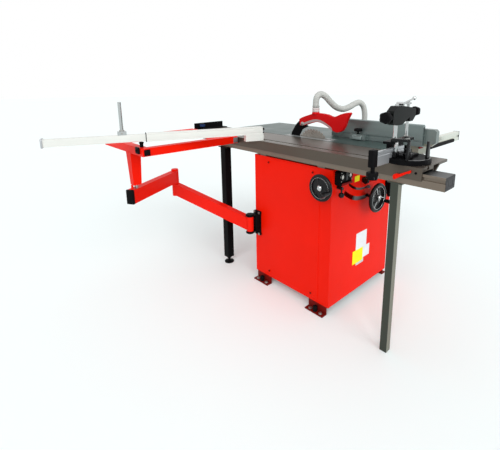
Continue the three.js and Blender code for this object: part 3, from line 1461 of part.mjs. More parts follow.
function rip_carrier() {
  const x0 = rip_face_x + rip_thickness + gap;
  const x1 = x0 + carrier_thickness;
  const side = [
    [rip_front - 56, rip_bottom + 22], [rip_front - 30, rip_bottom], [40, rip_bottom], [40, rip_bottom + 26],
    [-60, rip_bottom + 60], [-170, rip_bottom + 86], [rip_front - 46, rip_bottom + 86],
    [rip_front - 56, rip_bottom + 76],
  ];
  const web = profile(side, 'x', x0, x1);
  const pocket = profile([[rip_front - 20, rip_bottom + 14], [10, rip_bottom + 14], [-66, rip_bottom + 44],
    [-160, rip_bottom + 70], [rip_front - 20, rip_bottom + 70]], 'x', x0 + 8, x1 + overrun);
  const head = profile([
    [head_block_front + 12, head_block_low], [head_block_rear, head_block_low],
    [head_block_rear, head_block_high], [head_block_front + 20, head_block_high],
    [head_block_front, head_block_high - 22], [head_block_front, head_block_low + 14],
  ], 'x', head_block_left, head_block_right);
  const saddle = block(x0, head_block_right, head_block_rear - 1, rail_front + rail_thickness - 6,
    rail_bottom + rail_height + gap, rail_bottom + rail_height + 12);
  const bracket = profile([
    [head_block_front + 30, head_block_low + 1], [head_block_front + 30, 752], [head_block_front + 42, 726],
    [head_block_front + 50, 726], [head_block_front + 50, head_block_low + 1],
  ], 'x', head_block_left + 10, head_block_left + 46);
  const bolt = screw([head_block_left + 10, head_block_front + 42, 744], [-1, 0, 0], 7, 5);
  const pivot = bar([rip_lever_x, rip_lever_y, rip_lever_z - 15], [rip_lever_x, rip_lever_y, rip_lever_z + 15], 5, 16);
  const ears = [-1, 1].map((s) => block(head_block_right - 1, rip_lever_x + 8, rip_lever_y - 8,
    rip_lever_y + 8, rip_lever_z + s * 15 - 2, rip_lever_z + s * 15 + 2));
  const fence_room = block(rip_face_x - gap, x0, rip_front - gap, head_block_rear + overrun,
    rip_bottom - gap, rip_top);
  return cut(join(cut(web, pocket), head, saddle, bracket, bolt, pivot, ...ears), fence_room);
}

const rip_lever_x = 560;
const rip_lever_y = -190;
const rip_lever_z = 818;
const rip_lever_length = 392;

function rip_lever() {
  const low = rip_lever_z - 13 + gap;
  const high = rip_lever_z + 13 - gap;
  const hub = bar([rip_lever_x, rip_lever_y, low], [rip_lever_x, rip_lever_y, high], 12, 24);
  const arm = profile([[rip_lever_x, low + 3], [rip_lever_x + rip_lever_length - 6, low + 3],
    [rip_lever_x + rip_lever_length, low + 8], [rip_lever_x + rip_lever_length, high - 8],
    [rip_lever_x + rip_lever_length - 6, high - 3], [rip_lever_x, high - 3]], 'y',
  rip_lever_y - 5, rip_lever_y + 5);
  const bore = bar([rip_lever_x, rip_lever_y, low - overrun], [rip_lever_x, rip_lever_y, high + overrun],
    5 + gap, 16);
  return cut(join(hub, arm), bore);
}

// Knob and ball lever on the cabinet's front
const lock_knob_x = 276;
const lock_knob_z = 670;
const lug_left = 288;
const lug_width = 12;

function lock_lug() {
  const body = block(lug_left, lug_left + lug_width, -34, 0, lock_knob_z - 12, lock_knob_z + 12);
  return cut(body, bar([lug_left - overrun, -20, lock_knob_z], [lug_left + lug_width + overrun, -20, lock_knob_z],
    5 + gap, 16));
}

function tilt_lock_knob() {
  return star_knob([lock_knob_x, -20, lock_knob_z], [-1, 0, 0], 20, 22, 6, 5, lug_left - lock_knob_x + lug_width + 12);
}

const ball_lever_x = 45;
const ball_lever_z = 674;

function lock_ball_lever() {
  const hub = bar([ball_lever_x, -gap, ball_lever_z], [ball_lever_x, -30, ball_lever_z], 8, 20);
  const rod = bar([ball_lever_x, -24, ball_lever_z], [ball_lever_x, -24, 646], 4, 14);
  const ball = new THREE.SphereGeometry(14, 14, 9);
  ball.translate(ball_lever_x, -24, 640);
  return join(hub, rod, solid(ball));
}

// Ribbed dust hose from the guard's spout, over the table's right edge and down to the outlet
const hose_route = [
  [284, 337, 1021.3], [284, 337, 1060], [292, 335, 1084], [318, 331, 1096], [350, 324, 1084],
  [386, 315, 1052], [430, 307, 1021], [500, 304, 1004], [580, 308, 1014], [640, 311, 1030],
  [690, 309, 1034], [724, 304, 1010], [742, 302, 960], [748, 305, 900], [750, 310, 800],
  [750, 316, 700], [748, 322, 600], [738, 327, 500], [712, 329, 420], [676, 330, 362], [640, 330, 332],
  [600.3, 330, 330],
];
const hose_shares = [0, 0.16, 0.4, 1];
const hose_path = new THREE.CatmullRomCurve3(hose_route.map((p) => new THREE.Vector3(...p)), false,
  'centripetal');
hose_path.arcLengthDivisions = 600;
const hose_length = hose_path.getLength();

// One stretch of hose: ribs of two rings outside, and a bore with a ring every few ribs. Each second
// ring is turned by half a side, so that every facet is one plain triangle on a bend too.
function ribbed_hose(from_share, to_share) {
  const sides = 8;
  const bore_every = 2;
  const groove = 2;
  const start = from_share * hose_length;
  const end = to_share * hose_length;
  const ribs = Math.round((end - start) / hose_pitch);
  const positions = [];
  const index = [];
  const ring_at = (distance, radius, turned_by) => {
    const share = Math.min(1, Math.max(0, distance / hose_length));
    const centre = hose_path.getPointAt(share);
    const along = hose_path.getTangentAt(share);
    const side = new THREE.Vector3(0, 1, 0).cross(along).normalize();
    const other = along.clone().cross(side);
    const first = positions.length / 3;
    for (let i = 0; i < sides; i += 1) {
      const angle = ((i + turned_by) / sides) * 2 * Math.PI;
      const point = centre.clone().addScaledVector(side, radius * Math.cos(angle))
        .addScaledVector(other, radius * Math.sin(angle));
      positions.push(point.x, point.y, point.z);
    }
    return { first, turned_by };
  };
  const bridge = (a, b, flip) => {
    for (let i = 0; i < sides; i += 1) {
      const j = (i + 1) % sides;
      const pair = a.turned_by > b.turned_by
        ? [[a.first + i, b.first + j, b.first + i], [a.first + i, a.first + j, b.first + j]]
        : [[a.first + i, a.first + j, b.first + i], [a.first + j, b.first + j, b.first + i]];
      pair.forEach((corners) => index.push(...(flip ? corners.reverse() : corners)));
    }
  };
  const pitch = (end - start) / ribs;
  const outer = [];
  const inner = [];
  for (let i = 0; i <= ribs; i += 1) {
    const at = start + i * pitch;
    outer.push(ring_at(at, hose_outer * half, 0));
    if (i < ribs) outer.push(ring_at(at + pitch * half, hose_outer * half - groove, half));
    if (i % bore_every === 0 || i === ribs) inner.push(ring_at(at, hose_bore * half, (inner.length % 2) * half));
  }
  for (let i = 1; i < outer.length; i += 1) bridge(outer[i - 1], outer[i], false);
  for (let i = 1; i < inner.length; i += 1) bridge(inner[i - 1], inner[i], true);
  bridge(outer[0], inner[0], true);
  bridge(outer[outer.length - 1], inner[inner.length - 1], false);
  const geometry = new THREE.BufferGeometry();
  geometry.setAttribute('position', new THREE.BufferAttribute(new Float32Array(positions), 3));
  geometry.setIndex(index);
  return solid(geometry);
}

// The least gap of the hose to itself, measured between points more than two diameters apart along it
function least_hose_gap() {
  const samples = 400;
  let least = Infinity;
  const points = hose_path.getSpacedPoints(samples);
  const apart = Math.ceil((2 * hose_outer * samples) / hose_length);
  for (let i = 0; i <= samples; i += 1) {
    for (let j = i + apart; j <= samples; j += 1) {
      least = Math.min(least, points[i].distanceTo(points[j]) - hose_outer);
    }
  }
  return least;
}

// Groups that are turned about their own pivots
const swing_group = new THREE.Group();
swing_group.position.set(t_slot_x, fence_pivot_y, 0);
swing_group.rotation.z = -fence_swing * deg;
const mitre_group = new THREE.Group();
mitre_group.position.set(mitre_x, mitre_y, 0);
const inner_group = new THREE.Group();
inner_group.position.set(arm_hinge_x, arm_hinge_y, 0);
inner_group.rotation.z = inner_angle;
const outer_group = new THREE.Group();
outer_group.position.set(arm_elbow_x, arm_elbow_y, 0);
outer_group.rotation.z = outer_angle;
machine.add(swing_group, mitre_group, inner_group, outer_group);

piece('cabinet_shell', join(cabinet_shell(), lock_lug()), 'red');
piece('side_panel', side_panel(), 'panel_red');
piece('foot_front_left', foot_bracket(-1, -1), 'black_paint');
piece('foot_front_right', foot_bracket(1, -1), 'black_paint');
piece('foot_rear_left', foot_bracket(-1, 1), 'black_paint');
piece('foot_rear_right', foot_bracket(1, 1), 'black_paint');
piece('main_table', main_table(), 'cast_iron');
piece('rear_table', rear_table(), 'cast_iron');
piece('table_insert', table_insert(), 'steel');
piece('fixed_beam', fixed_beam(), 'aluminium');
piece('front_leg', front_leg(), 'steel');
piece('rear_leg', join(rear_leg(), rear_leg_foot()), 'black_paint');
piece('rip_rail', rip_rail(), 'aluminium');
piece('switch_box', switch_box(), 'black_plastic');
piece('start_button', button(-1), 'button_white');
piece('stop_button', button(1), 'button_white');
piece('terminal_box', terminal_box(), 'black_plastic');
piece('hinge_bracket', hinge_bracket(), 'black_paint');
piece('dust_port', dust_port(), 'black_plastic');
piece('front_trunnion', trunnion(trunnion_front), 'grey_paint');
piece('rear_trunnion', trunnion(trunnion_rear), 'grey_paint');

piece('sliding_carriage', sliding_carriage(), 'aluminium');
piece('carriage_lock', carriage_lock(), 'red');
piece('outrigger_frame', outrigger_frame(), 'red');
piece('outrigger_leg', outrigger_leg(), 'red');
piece('rear_stop', rear_stop(), 'black_paint');
piece('inner_link', inner_link(), 'red', inner_group);
piece('outer_link', outer_link(), 'red', outer_group);

piece('fence_pivot_knob', fence_pivot_knob(), 'black_plastic', swing_group);
piece('crosscut_fence', crosscut_fence(), 'aluminium', swing_group);
piece('fence_extension', fence_extension(), 'aluminium', swing_group);
piece('fence_post', fence_post(), 'chrome', swing_group);

piece('mitre_base', mitre_base(), 'black_paint', mitre_group);
piece('mitre_head', mitre_head(), 'black_paint', mitre_group);
piece('mitre_fence', mitre_fence(), 'aluminium', mitre_group);
piece('clamp_post', clamp_post(), 'chrome', mitre_group);
piece('clamp_arm', clamp_arm(), 'black_plastic', mitre_group);
piece('clamp_lever', clamp_lever(), 'chrome', mitre_group);
piece('clamp_spindle', clamp_spindle(), 'chrome', mitre_group);

const elevation_crank_angle = -115 * deg;
const tilt_crank_angle = -100 * deg;
const elevation_centre = [elevation_shaft[0], elevation_wheel_y, elevation_shaft[1]];
const tilt_centre = [tilt_wheel_x, tilt_shaft_y, tilt_shaft_z];
const pinion_end = rack_rear + 2;
const pinion = profile(arc(elevation_shaft[0], elevation_shaft[1], pinion_radius, 0, 330, 11), 'y',
  rack_front, rack_rear);

piece('tilt_cradle', tilt_cradle(), 'grey_paint');
piece('tilt_wheel', join(handwheel(tilt_centre, [-1, 0, 0], tilt_wheel_radius,
  worm_right - tilt_wheel_x, tilt_crank_angle), worm()), 'black_plastic');
piece('tilt_crank', crank_grip(tilt_centre, [-1, 0, 0], tilt_wheel_radius, tilt_crank_angle), 'black_plastic');
piece('tilt_lock_knob', tilt_lock_knob(), 'black_plastic');
piece('lock_ball_lever', lock_ball_lever(), 'black_plastic');
piece('elevation_wheel', join(handwheel(elevation_centre, [0, -1, 0], elevation_wheel_radius,
  pinion_end - elevation_wheel_y, elevation_crank_angle), pinion), 'black_plastic');
piece('elevation_crank', crank_grip(elevation_centre, [0, -1, 0], elevation_wheel_radius,
  elevation_crank_angle), 'black_plastic');
piece('drive_unit', drive_unit(), 'grey_paint');
piece('arbor', arbor(), 'steel');
piece('motor_pulley', motor_pulley(), 'steel');
piece('drive_belt', drive_belt(), 'rubber');
piece('saw_blade', saw_blade(), 'blade_steel');
piece('riving_knife', riving_knife(), 'black_paint');
piece('blade_guard', blade_guard(), 'red');

piece('rip_fence', rip_fence(), 'aluminium');
piece('rip_carrier', rip_carrier(), 'beige');
piece('rip_lever', rip_lever(), 'black_plastic');
piece('rip_knob', rip_knob(), 'black_plastic');

const hose_parts = ['hose_end', 'hose_mid', 'hose_main'];
hose_parts.forEach((name, i) => {
  const slack = gap / hose_length;
  const from = i === 0 ? hose_shares[0] : hose_shares[i] + slack;
  piece(name, ribbed_hose(from, hose_shares[i + 1]), 'hose_grey');
});

// The whole is centred over the middle of its own outline, with the floor at zero
machine.updateMatrixWorld(true);
const bounds = new THREE.Box3();
machine.traverse((child) => {
  if (child.isMesh && !hose_parts.includes(child.name)) bounds.expandByObject(child, true);
});
const centre = bounds.getCenter(new THREE.Vector3());
machine.position.set(-centre.x, -centre.y, 0);

console.log(`hose: ${hose_length.toFixed(0)} long, least gap to itself ${least_hose_gap().toFixed(1)}`);
console.log(`cabinet corner from the origin: ${(-centre.x).toFixed(4)}, ${(-centre.y).toFixed(4)}`);

const saw = new THREE.Group();
saw.add(machine);

export default saw;
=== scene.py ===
# %% [markdown]
# # A circular saw machine with a sliding table
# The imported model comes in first: every solid stands at its real place, in metres, and nothing
# here moves it. The work in this file is its looks, its small parts and the light around it.

# %% Load the fixed frame
import math
import bmesh
import bpy
from mathutils import Matrix, Vector


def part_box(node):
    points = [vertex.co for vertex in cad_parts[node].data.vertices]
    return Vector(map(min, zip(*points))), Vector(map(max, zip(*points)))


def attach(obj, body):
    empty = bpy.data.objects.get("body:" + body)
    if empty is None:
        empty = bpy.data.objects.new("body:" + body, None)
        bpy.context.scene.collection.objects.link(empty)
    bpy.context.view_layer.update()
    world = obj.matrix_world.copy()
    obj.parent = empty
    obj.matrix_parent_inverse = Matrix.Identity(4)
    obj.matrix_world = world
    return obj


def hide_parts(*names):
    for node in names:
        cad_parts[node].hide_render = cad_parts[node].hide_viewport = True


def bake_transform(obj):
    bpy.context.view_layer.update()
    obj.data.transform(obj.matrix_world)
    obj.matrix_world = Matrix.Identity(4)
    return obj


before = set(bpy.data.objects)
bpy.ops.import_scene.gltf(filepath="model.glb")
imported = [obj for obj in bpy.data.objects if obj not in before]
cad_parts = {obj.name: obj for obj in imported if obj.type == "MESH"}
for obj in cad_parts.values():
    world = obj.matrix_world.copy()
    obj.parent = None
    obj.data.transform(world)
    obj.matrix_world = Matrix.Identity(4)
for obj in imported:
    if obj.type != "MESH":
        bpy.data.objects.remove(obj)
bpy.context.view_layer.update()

# %% [markdown]
# Sizes on the drawing are millimetres from the cabinet's front left corner on the floor, as a maker
# would tape them. One matrix carries a shape from there to the model's own origin, so that a piece
# can be drawn with the same numbers as the drawing. The crosscut fence, the mitre gauge and the two
# links of the swing arm are drawn square on their own pivots, and each has a matrix of its own.

# %% Places on the machine
cabinet = Matrix.Translation((-0.0937897, -0.3365, 0)) @ Matrix.Scale(0.001, 4)
fence_line = cabinet @ Matrix.Translation((36, 530, 0)) @ Matrix.Rotation(math.radians(-21), 4, "Z")
mitre_gauge = cabinet @ Matrix.Translation((68, -320, 0))
inner_arm = cabinet @ Matrix.Translation((-60, 527, 0)) @ Matrix.Rotation(math.atan2(528, -172), 4, "Z")
outer_arm = cabinet @ Matrix.Translation((-232, 1055, 0)) @ Matrix.Rotation(math.atan2(-205, -358), 4, "Z")


def spot(x, y, z):
    """A place in metres, from millimetres off the cabinet's corner"""
    return cabinet @ Vector((x, y, z))


print("table surface is at", round(spot(0, 0, 850).z, 3), "m")

# %% [markdown]
# The photograph was taken from the front left, a little above the table. A camera's turn can be set
# by a target to look at, or by three angles. Angles were measured here from the straight edges of
# the cabinet and the carriage, so they are used as they are: 44.2 degrees round and 12.3 down.

# %% Camera at the photograph's angle
turn, dip, roll = (math.radians(a) for a in (44.2, 12.3, -0.2))
ahead = Vector((math.sin(turn) * math.cos(dip), math.cos(turn) * math.cos(dip), -math.sin(dip)))
aside = ahead.cross(Vector((0, 0, 1))).normalized()
above = aside.cross(ahead)
tilted_aside = aside * math.cos(roll) + above * math.sin(roll)
tilted_above = above * math.cos(roll) - aside * math.sin(roll)
lens = bpy.data.cameras.new("viewpoint")
lens.sensor_width = 36
lens.lens = 354.6 * 36 / 500
lens.shift_x = (250 - 274.8) / 500
lens.shift_y = (158.6 - 225) / 500
viewpoint = bpy.data.objects.new("viewpoint", lens)
bpy.context.scene.collection.objects.link(viewpoint)
facing = Matrix((tilted_aside, tilted_above, -ahead)).transposed().to_4x4()
viewpoint.matrix_world = Matrix.Translation(spot(-1299.7, -954.7, 1169)) @ facing
bpy.context.scene.camera = viewpoint
print("lens", round(lens.lens, 2), "mm at", [round(v, 3) for v in viewpoint.matrix_world.translation])

# %% [markdown]
# A finish is a small net of shader nodes. Wiring each node by hand hides the idea behind it, so one
# class stands for a value that runs through the net: plus, minus and times on it add Math nodes.
# A second class owns the material and makes every other kind of node in one way.


# %% Shader values that can be added and multiplied
class Reading:
    """A value in a finish, such as a noise or a height"""

    def __init__(self, finish, socket):
        self.finish, self.socket = finish, socket

    def combine(self, operation, *values):
        return self.finish.node("ShaderNodeMath", {"operation": operation}, dict(enumerate(values)))

    def __add__(self, other):
        return self.combine("ADD", self, other)

    __radd__ = __add__

    def __sub__(self, other):
        return self.combine("SUBTRACT", self, other)

    def __rsub__(self, other):
        return self.combine("SUBTRACT", other, self)

    def __mul__(self, other):
        return self.combine("MULTIPLY", self, other)

    __rmul__ = __mul__

    def __truediv__(self, other):
        return self.combine("DIVIDE", self, other)

    def __rtruediv__(self, other):
        return self.combine("DIVIDE", other, self)

    def above(self, level, softness=0.001):
        """0 below a level and 1 above it, with a soft step"""
        settings = {"interpolation_type": "SMOOTHSTEP"}
        inputs = {"Value": self, "From Min": level - softness, "From Max": level + softness}
        return self.finish.node("ShaderNodeMapRange", settings, inputs)

    def wave(self, operation="SINE"):
        return self.combine(operation, self)


# %% A finish: one material and the way its nodes are made
class Finish:
    """One material with its Principled shader"""

    def __init__(self, name):
        self.material = bpy.data.materials.new(name)
        self.material.use_nodes = True
        self.tree = self.material.node_tree
        self.shader = self.tree.nodes["Principled BSDF"]
        self.place = self.node("ShaderNodeTexCoord", output="Object")

    def node(self, kind, settings=None, inputs=None, output=0):
        made = self.tree.nodes.new(kind)
        for setting, value in (settings or {}).items():
            setattr(made, setting, value)
        for socket, value in (inputs or {}).items():
            self.feed(made.inputs[socket], value)
        return Reading(self, made.outputs[output])

    def feed(self, socket, value):
        if isinstance(value, Reading):
            self.tree.links.new(value.socket, socket)
        else:
            socket.default_value = value

    def set(self, **values):
        for name, value in values.items():
            self.feed(self.shader.inputs[name.replace("_", " ")], value)
        return self

    def stretched(self, scale):
        """The place on the piece, stretched along an axis by a small number there"""
        return self.node("ShaderNodeMapping", {}, {"Vector": self.place, "Scale": scale})

    def noise(self, scale, detail=3.0, stretch=(1, 1, 1)):
        inputs = {"Vector": self.stretched(stretch), "Scale": scale, "Detail": detail}
        return self.node("ShaderNodeTexNoise", {}, inputs)

    def axis(self, letter):
        return self.node("ShaderNodeSeparateXYZ", {}, {0: self.place}, letter.upper())

    def blend(self, share, first, second):
        """A colour from first to second by a share from 0 to 1"""
        settings = {"data_type": "RGBA", "clamp_factor": True}
        return self.node("ShaderNodeMix", settings, {0: share, 6: first, 7: second}, 2)

    def relief(self, height, depth):
        """Bumps of a real depth in metres"""
        self.set(Normal=self.node("ShaderNodeBump", {}, {"Height": height, "Distance": depth, "Strength": 1.0}))
        return self


def rgb(red, green, blue):
    return (red, green, blue, 1.0)


# %% [markdown]
# Powder coat is baked on: an even, strong red with a fine orange-peel skin. It could be one flat
# colour with a coat, but the real skin breaks the highlight up, so a fine noise drives the bump and
# a slow one shifts the colour and the gloss a little, as handling and dust do.


# %% Powder coat, in the red of the cabinet and the deeper red of the guard
def powder_coat(name, colour, peel=0.00012, rough=0.36):
    finish = Finish(name)
    slow = finish.noise(5.0)
    dusty = finish.noise(55.0, 4.0)
    darker = tuple(c * 0.86 for c in colour[:3]) + (1.0,)
    finish.set(Base_Color=finish.blend(slow, darker, colour), Roughness=rough - 0.05 + dusty * 0.14)
    finish.relief(finish.noise(420.0, 2.0), peel)
    return finish.set(Specular_IOR_Level=0.08).material


red_coat = powder_coat("red_coat", rgb(0.84, 0.0095, 0.0006))
guard_coat = powder_coat("guard_coat", rgb(0.6, 0.0045, 0.006), 0.00006, 0.28)
arm_coat = powder_coat("arm_coat", rgb(0.8, 0.012, 0.004))
# The feet carry the cabinet's red with painted shade, as they stand under the cabinet; the side panel's screws take the
# same dark red
foot_shade_and_screw_red = powder_coat("foot_shade_and_screw_red", rgb(0.16, 0.007, 0.005))
black_coat = powder_coat("black_coat", rgb(0.004, 0.005, 0.0048), 0.0001, 0.3)
casting_coat = powder_coat("casting_coat", rgb(0.17, 0.175, 0.18), 0.0005, 0.55)
print("powder coats made")

# %% [markdown]
# The tables are ground grey iron. Grinding leaves straight faint lines one way, oil and air turn it
# a dark green-grey, and a few dull patches show where hands rest. Lines come from a noise that is
# stretched along the table; patches come from a slow noise on the gloss.


# %% Ground cast iron
def ground_iron(name, colour, along):
    finish = Finish(name)
    lines = finish.noise(240.0, 3.0, along)
    patches = finish.noise(7.0, 4.0)
    specks = finish.noise(900.0, 1.0)
    light = tuple(c * 1.28 for c in colour[:3]) + (1.0,)
    finish.set(Base_Color=finish.blend(lines * 0.6 + patches * 0.5 - 0.05, colour, light))
    finish.set(Metallic=0.55, Roughness=0.24 + patches * 0.22 + specks * 0.05)
    return finish.relief(lines, 0.00005).material


table_iron = ground_iron("table_iron", rgb(0.048, 0.078, 0.073), (1, 0.03, 1))
insert_steel = ground_iron("insert_steel", rgb(0.26, 0.27, 0.27), (1, 0.04, 1))

# %% [markdown]
# Extruded aluminium carries fine die lines along its whole length and a satin anodised skin. The
# lines could be modelled, but they are hundredths of a millimetre, so they are bump and gloss only.


# %% Extruded aluminium
def extrusion(name, colour, along, metallic=0.75, rough=0.3):
    finish = Finish(name)
    lines = finish.noise(420.0, 2.0, along)
    wide = finish.noise(60.0, 2.0, along)
    smudge = finish.noise(9.0, 3.0)
    deep = tuple(c * 0.82 for c in colour[:3]) + (1.0,)
    finish.set(Base_Color=finish.blend(wide * 0.7 + smudge * 0.4, deep, colour), Metallic=metallic)
    finish.set(Roughness=rough + lines * 0.1 + smudge * 0.08 - 0.06)
    return finish.relief(lines, 0.00004).material




def masked(name, colour, other, mask):
    """An extrusion whose colour changes where a mask of the place says so"""
    finish = Finish(name)
    lines = finish.noise(420.0, 2.0, (1, 0.004, 1))
    smudge = finish.noise(9.0, 3.0)
    deep = tuple(c * 0.84 for c in colour[:3]) + (1.0,)
    plain = finish.blend(lines * 0.5 + smudge * 0.5, deep, colour)
    finish.set(Base_Color=finish.blend(mask(finish), plain, other), Metallic=0.55, Roughness=0.28 + smudge * 0.12)
    return finish.relief(lines, 0.00004).material


def head_casting(finish):
    return (1 - finish.axis("z").above(0.866)) * (1 - finish.axis("y").above(spot(0, -122, 0).y))


# Painted shade: the beam's closed top is made near black, as the inside of an open channel in shade, except on the
# rails' tops
def painted_channel_shade(finish):
    bare = 1 - finish.axis("z").above(0.8332, 0.0002)
    return finish.axis("z").above(0.8262) * bare * finish.axis("x").above(spot(-9, 0, 0).x)


carrier_metal = masked("carrier_metal", rgb(0.2, 0.24, 0.23), rgb(0.25, 0.255, 0.205), head_casting)
carriage_metal = extrusion("carriage_metal", rgb(0.108, 0.088, 0.07), (1, 0.004, 1), 0.7, 0.32)
# The second colour is the painted shade on the beam's top
beam_metal = masked("beam_metal", rgb(0.2, 0.16, 0.125), rgb(0.006, 0.008, 0.008), painted_channel_shade)
rail_metal = extrusion("rail_metal", rgb(0.72, 0.745, 0.67), (0.004, 1, 1), 0.7, 0.28)
rip_metal = extrusion("rip_metal", rgb(0.215, 0.265, 0.26), (1, 0.004, 1), 0.65, 0.3)
fence_metal = extrusion("fence_metal", rgb(0.74, 0.75, 0.71), (0.01, 0.03, 1), 0.35, 0.34)
# A pale metal for a painted glint along the carriage's T-slot
painted_glint_metal = extrusion("painted_glint_metal", rgb(0.5, 0.46, 0.4), (1, 0.004, 1), 0.5, 0.3)
mitre_metal = extrusion("mitre_metal", rgb(0.48, 0.5, 0.52), (0.004, 1, 1), 0.6, 0.3)
print("extrusions made")


# %% [markdown]
# Turned and drawn steel: the blade is ground in circles round its bore, the front leg is drawn
# tube, and the clamp's rods are hard chrome. Circles come from the distance to the blade's middle.


# %% Blade, chrome and drawn steel
def circled_steel(name, colour, middle):
    finish = Finish(name)
    offset = finish.node("ShaderNodeVectorMath", {"operation": "SUBTRACT"}, {0: finish.place, 1: middle})
    flat = finish.node("ShaderNodeVectorMath", {"operation": "MULTIPLY"}, {0: offset, 1: (0, 1, 1)})
    away = finish.node("ShaderNodeVectorMath", {"operation": "LENGTH"}, {0: flat}, "Value")
    rings = (away * 9000.0 + finish.noise(60.0) * 5.0).wave() * 0.5 + 0.5
    resin = finish.noise(16.0, 5.0)
    finish.set(Base_Color=finish.blend(resin * rings, colour, rgb(0.62, 0.58, 0.52)), Metallic=0.85)
    finish.set(Roughness=0.2 + rings * 0.12 + resin * 0.12)
    return finish.relief(rings, 0.00002).material


def plated(name, colour, rough, scale=90.0):
    finish = Finish(name)
    marks = finish.noise(scale, 4.0)
    finish.set(Base_Color=finish.blend(marks, tuple(c * 0.85 for c in colour[:3]) + (1.0,), colour))
    return finish.set(Metallic=0.95, Roughness=rough + marks * 0.1).relief(marks, 0.00002).material


blade_steel = circled_steel("blade_steel", rgb(0.34, 0.32, 0.29), spot(284, 353, 773))
chrome = plated("chrome", rgb(0.56, 0.57, 0.57), 0.07)


# Painted shade: the front leg's left face is made darker than its front
def painted_shade_left_face(finish):
    return 1 - finish.axis("x").above(spot(-15.5, 0, 0).x)


# The second colour is the painted shade on the leg's left face
leg_steel = masked("leg_steel", rgb(0.2, 0.195, 0.15), rgb(0.045, 0.052, 0.04), painted_shade_left_face)
turned_steel = plated("turned_steel", rgb(0.5, 0.5, 0.51), 0.22)
zinc = plated("zinc", rgb(0.42, 0.42, 0.4), 0.3, 200.0)


# %% [markdown]
# Knobs, grips and the switch box are moulded black plastic with a spark-eroded grain. Rubber is
# duller and has no coat. Both are nearly black, so the grain is what makes them read as plastic.


# %% Moulded plastics and rubber
def moulded(name, colour, rough=0.42, grain=900.0, depth=0.00006, shine=0.03):
    finish = Finish(name)
    skin = finish.noise(grain, 2.0)
    worn = finish.noise(30.0, 3.0)
    pale = tuple(min(1.0, c * 1.35 + 0.002) for c in colour[:3]) + (1.0,)
    finish.set(Base_Color=finish.blend(worn * 0.7, colour, pale), Roughness=rough + worn * 0.12)
    return finish.relief(skin, depth).set(Specular_IOR_Level=shine).material


black_plastic = moulded("black_plastic", rgb(0.004, 0.004, 0.0045))
gloss_black = moulded("gloss_black", rgb(0.004, 0.004, 0.0045), 0.18, 500.0, 0.00002, 0.22)
belt_rubber = moulded("belt_rubber", rgb(0.02, 0.02, 0.019), 0.7, 700.0, 0.0001)
cap_plastic = moulded("cap_plastic", rgb(0.055, 0.056, 0.058), 0.5)
blue_plastic = moulded("blue_plastic", rgb(0.012, 0.03, 0.09), 0.4)
lamp_white = moulded("lamp_white", rgb(0.62, 0.62, 0.58), 0.25)
bar_red = moulded("bar_red", rgb(0.17, 0.008, 0.008), 0.3)
hose_plastic = moulded("hose_plastic", rgb(0.41, 0.42, 0.4), 0.34, 260.0, 0.00008)
cuff_plastic = moulded("cuff_plastic", rgb(0.5, 0.44, 0.43), 0.25, 260.0, 0.00004, 0.4)
smoke_plastic = moulded("smoke_plastic", rgb(0.33, 0.27, 0.265), 0.2)
plate_white = moulded("plate_white", rgb(0.66, 0.68, 0.7), 0.4, 500.0, 0.00002)
plate_yellow = moulded("plate_yellow", rgb(0.86, 0.72, 0.02), 0.4, 500.0, 0.00002)
scale_metal = plated("scale_metal", rgb(0.24, 0.24, 0.24), 0.3)
plate_silver = moulded("plate_silver", rgb(0.5, 0.5, 0.49), 0.35)
black_paint = moulded("black_paint", rgb(0.0035, 0.0035, 0.004), 0.3, 300.0, 0.00008)
print(len(bpy.data.materials), "finishes")

# %% [markdown]
# The solids take their finish by what they are made of. The soft hose isn't here: it is replaced
# below by a fuller ribbed one.

# %% Give every solid its finish
finish_of = {
    red_coat: ["cabinet_shell", "side_panel", "carriage_lock", "outrigger_frame", "outrigger_leg"],
    arm_coat: ["inner_link", "outer_link"],
    guard_coat: ["blade_guard"],
    table_iron: ["main_table", "rear_table"],
    insert_steel: ["table_insert"],
    beam_metal: ["fixed_beam"],
    carriage_metal: ["sliding_carriage"],
    rail_metal: ["rip_rail"],
    rip_metal: ["rip_fence"],
    fence_metal: ["crosscut_fence", "fence_extension"],
    mitre_metal: ["mitre_fence"],
    leg_steel: ["front_leg"],
    black_paint: ["rear_leg", "hinge_bracket", "rear_stop", "riving_knife", "mitre_base", "mitre_head"],
    foot_shade_and_screw_red: ["foot_front_left", "foot_front_right", "foot_rear_left", "foot_rear_right"],
    black_coat: ["clamp_arm"],
    carrier_metal: ["rip_carrier"],
    casting_coat: ["front_trunnion", "rear_trunnion", "tilt_cradle", "drive_unit"],
    turned_steel: ["arbor", "motor_pulley"],
    blade_steel: ["saw_blade"],
    chrome: ["fence_post", "clamp_post", "clamp_spindle", "clamp_lever"],
    belt_rubber: ["drive_belt"],
    hose_plastic: ["hose_end", "hose_mid", "hose_main"],
    lamp_white: ["start_button", "stop_button"],
    black_plastic: ["switch_box", "terminal_box", "dust_port", "fence_pivot_knob", "rip_knob", "rip_lever"],
    gloss_black: ["tilt_wheel", "tilt_crank", "elevation_wheel", "elevation_crank", "tilt_lock_knob",
                  "lock_ball_lever"],
}
for material, names in finish_of.items():
    for name in names:
        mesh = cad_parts[name].data
        mesh.materials.clear()
        mesh.materials.append(material)
unfinished = set(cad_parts) - {name for names in finish_of.values() for name in names}
print("solids without a finish:", sorted(unfinished))

# %% [markdown]
# Small parts are made from a few shop shapes: a block with broken edges, a rod, a turned part and a
# plate cut to an outline. Each shape is made and bevelled in a bmesh of its own, so that a bevel
# reaches no other shape, and a piece gathers its shapes before its place is set in its mesh.


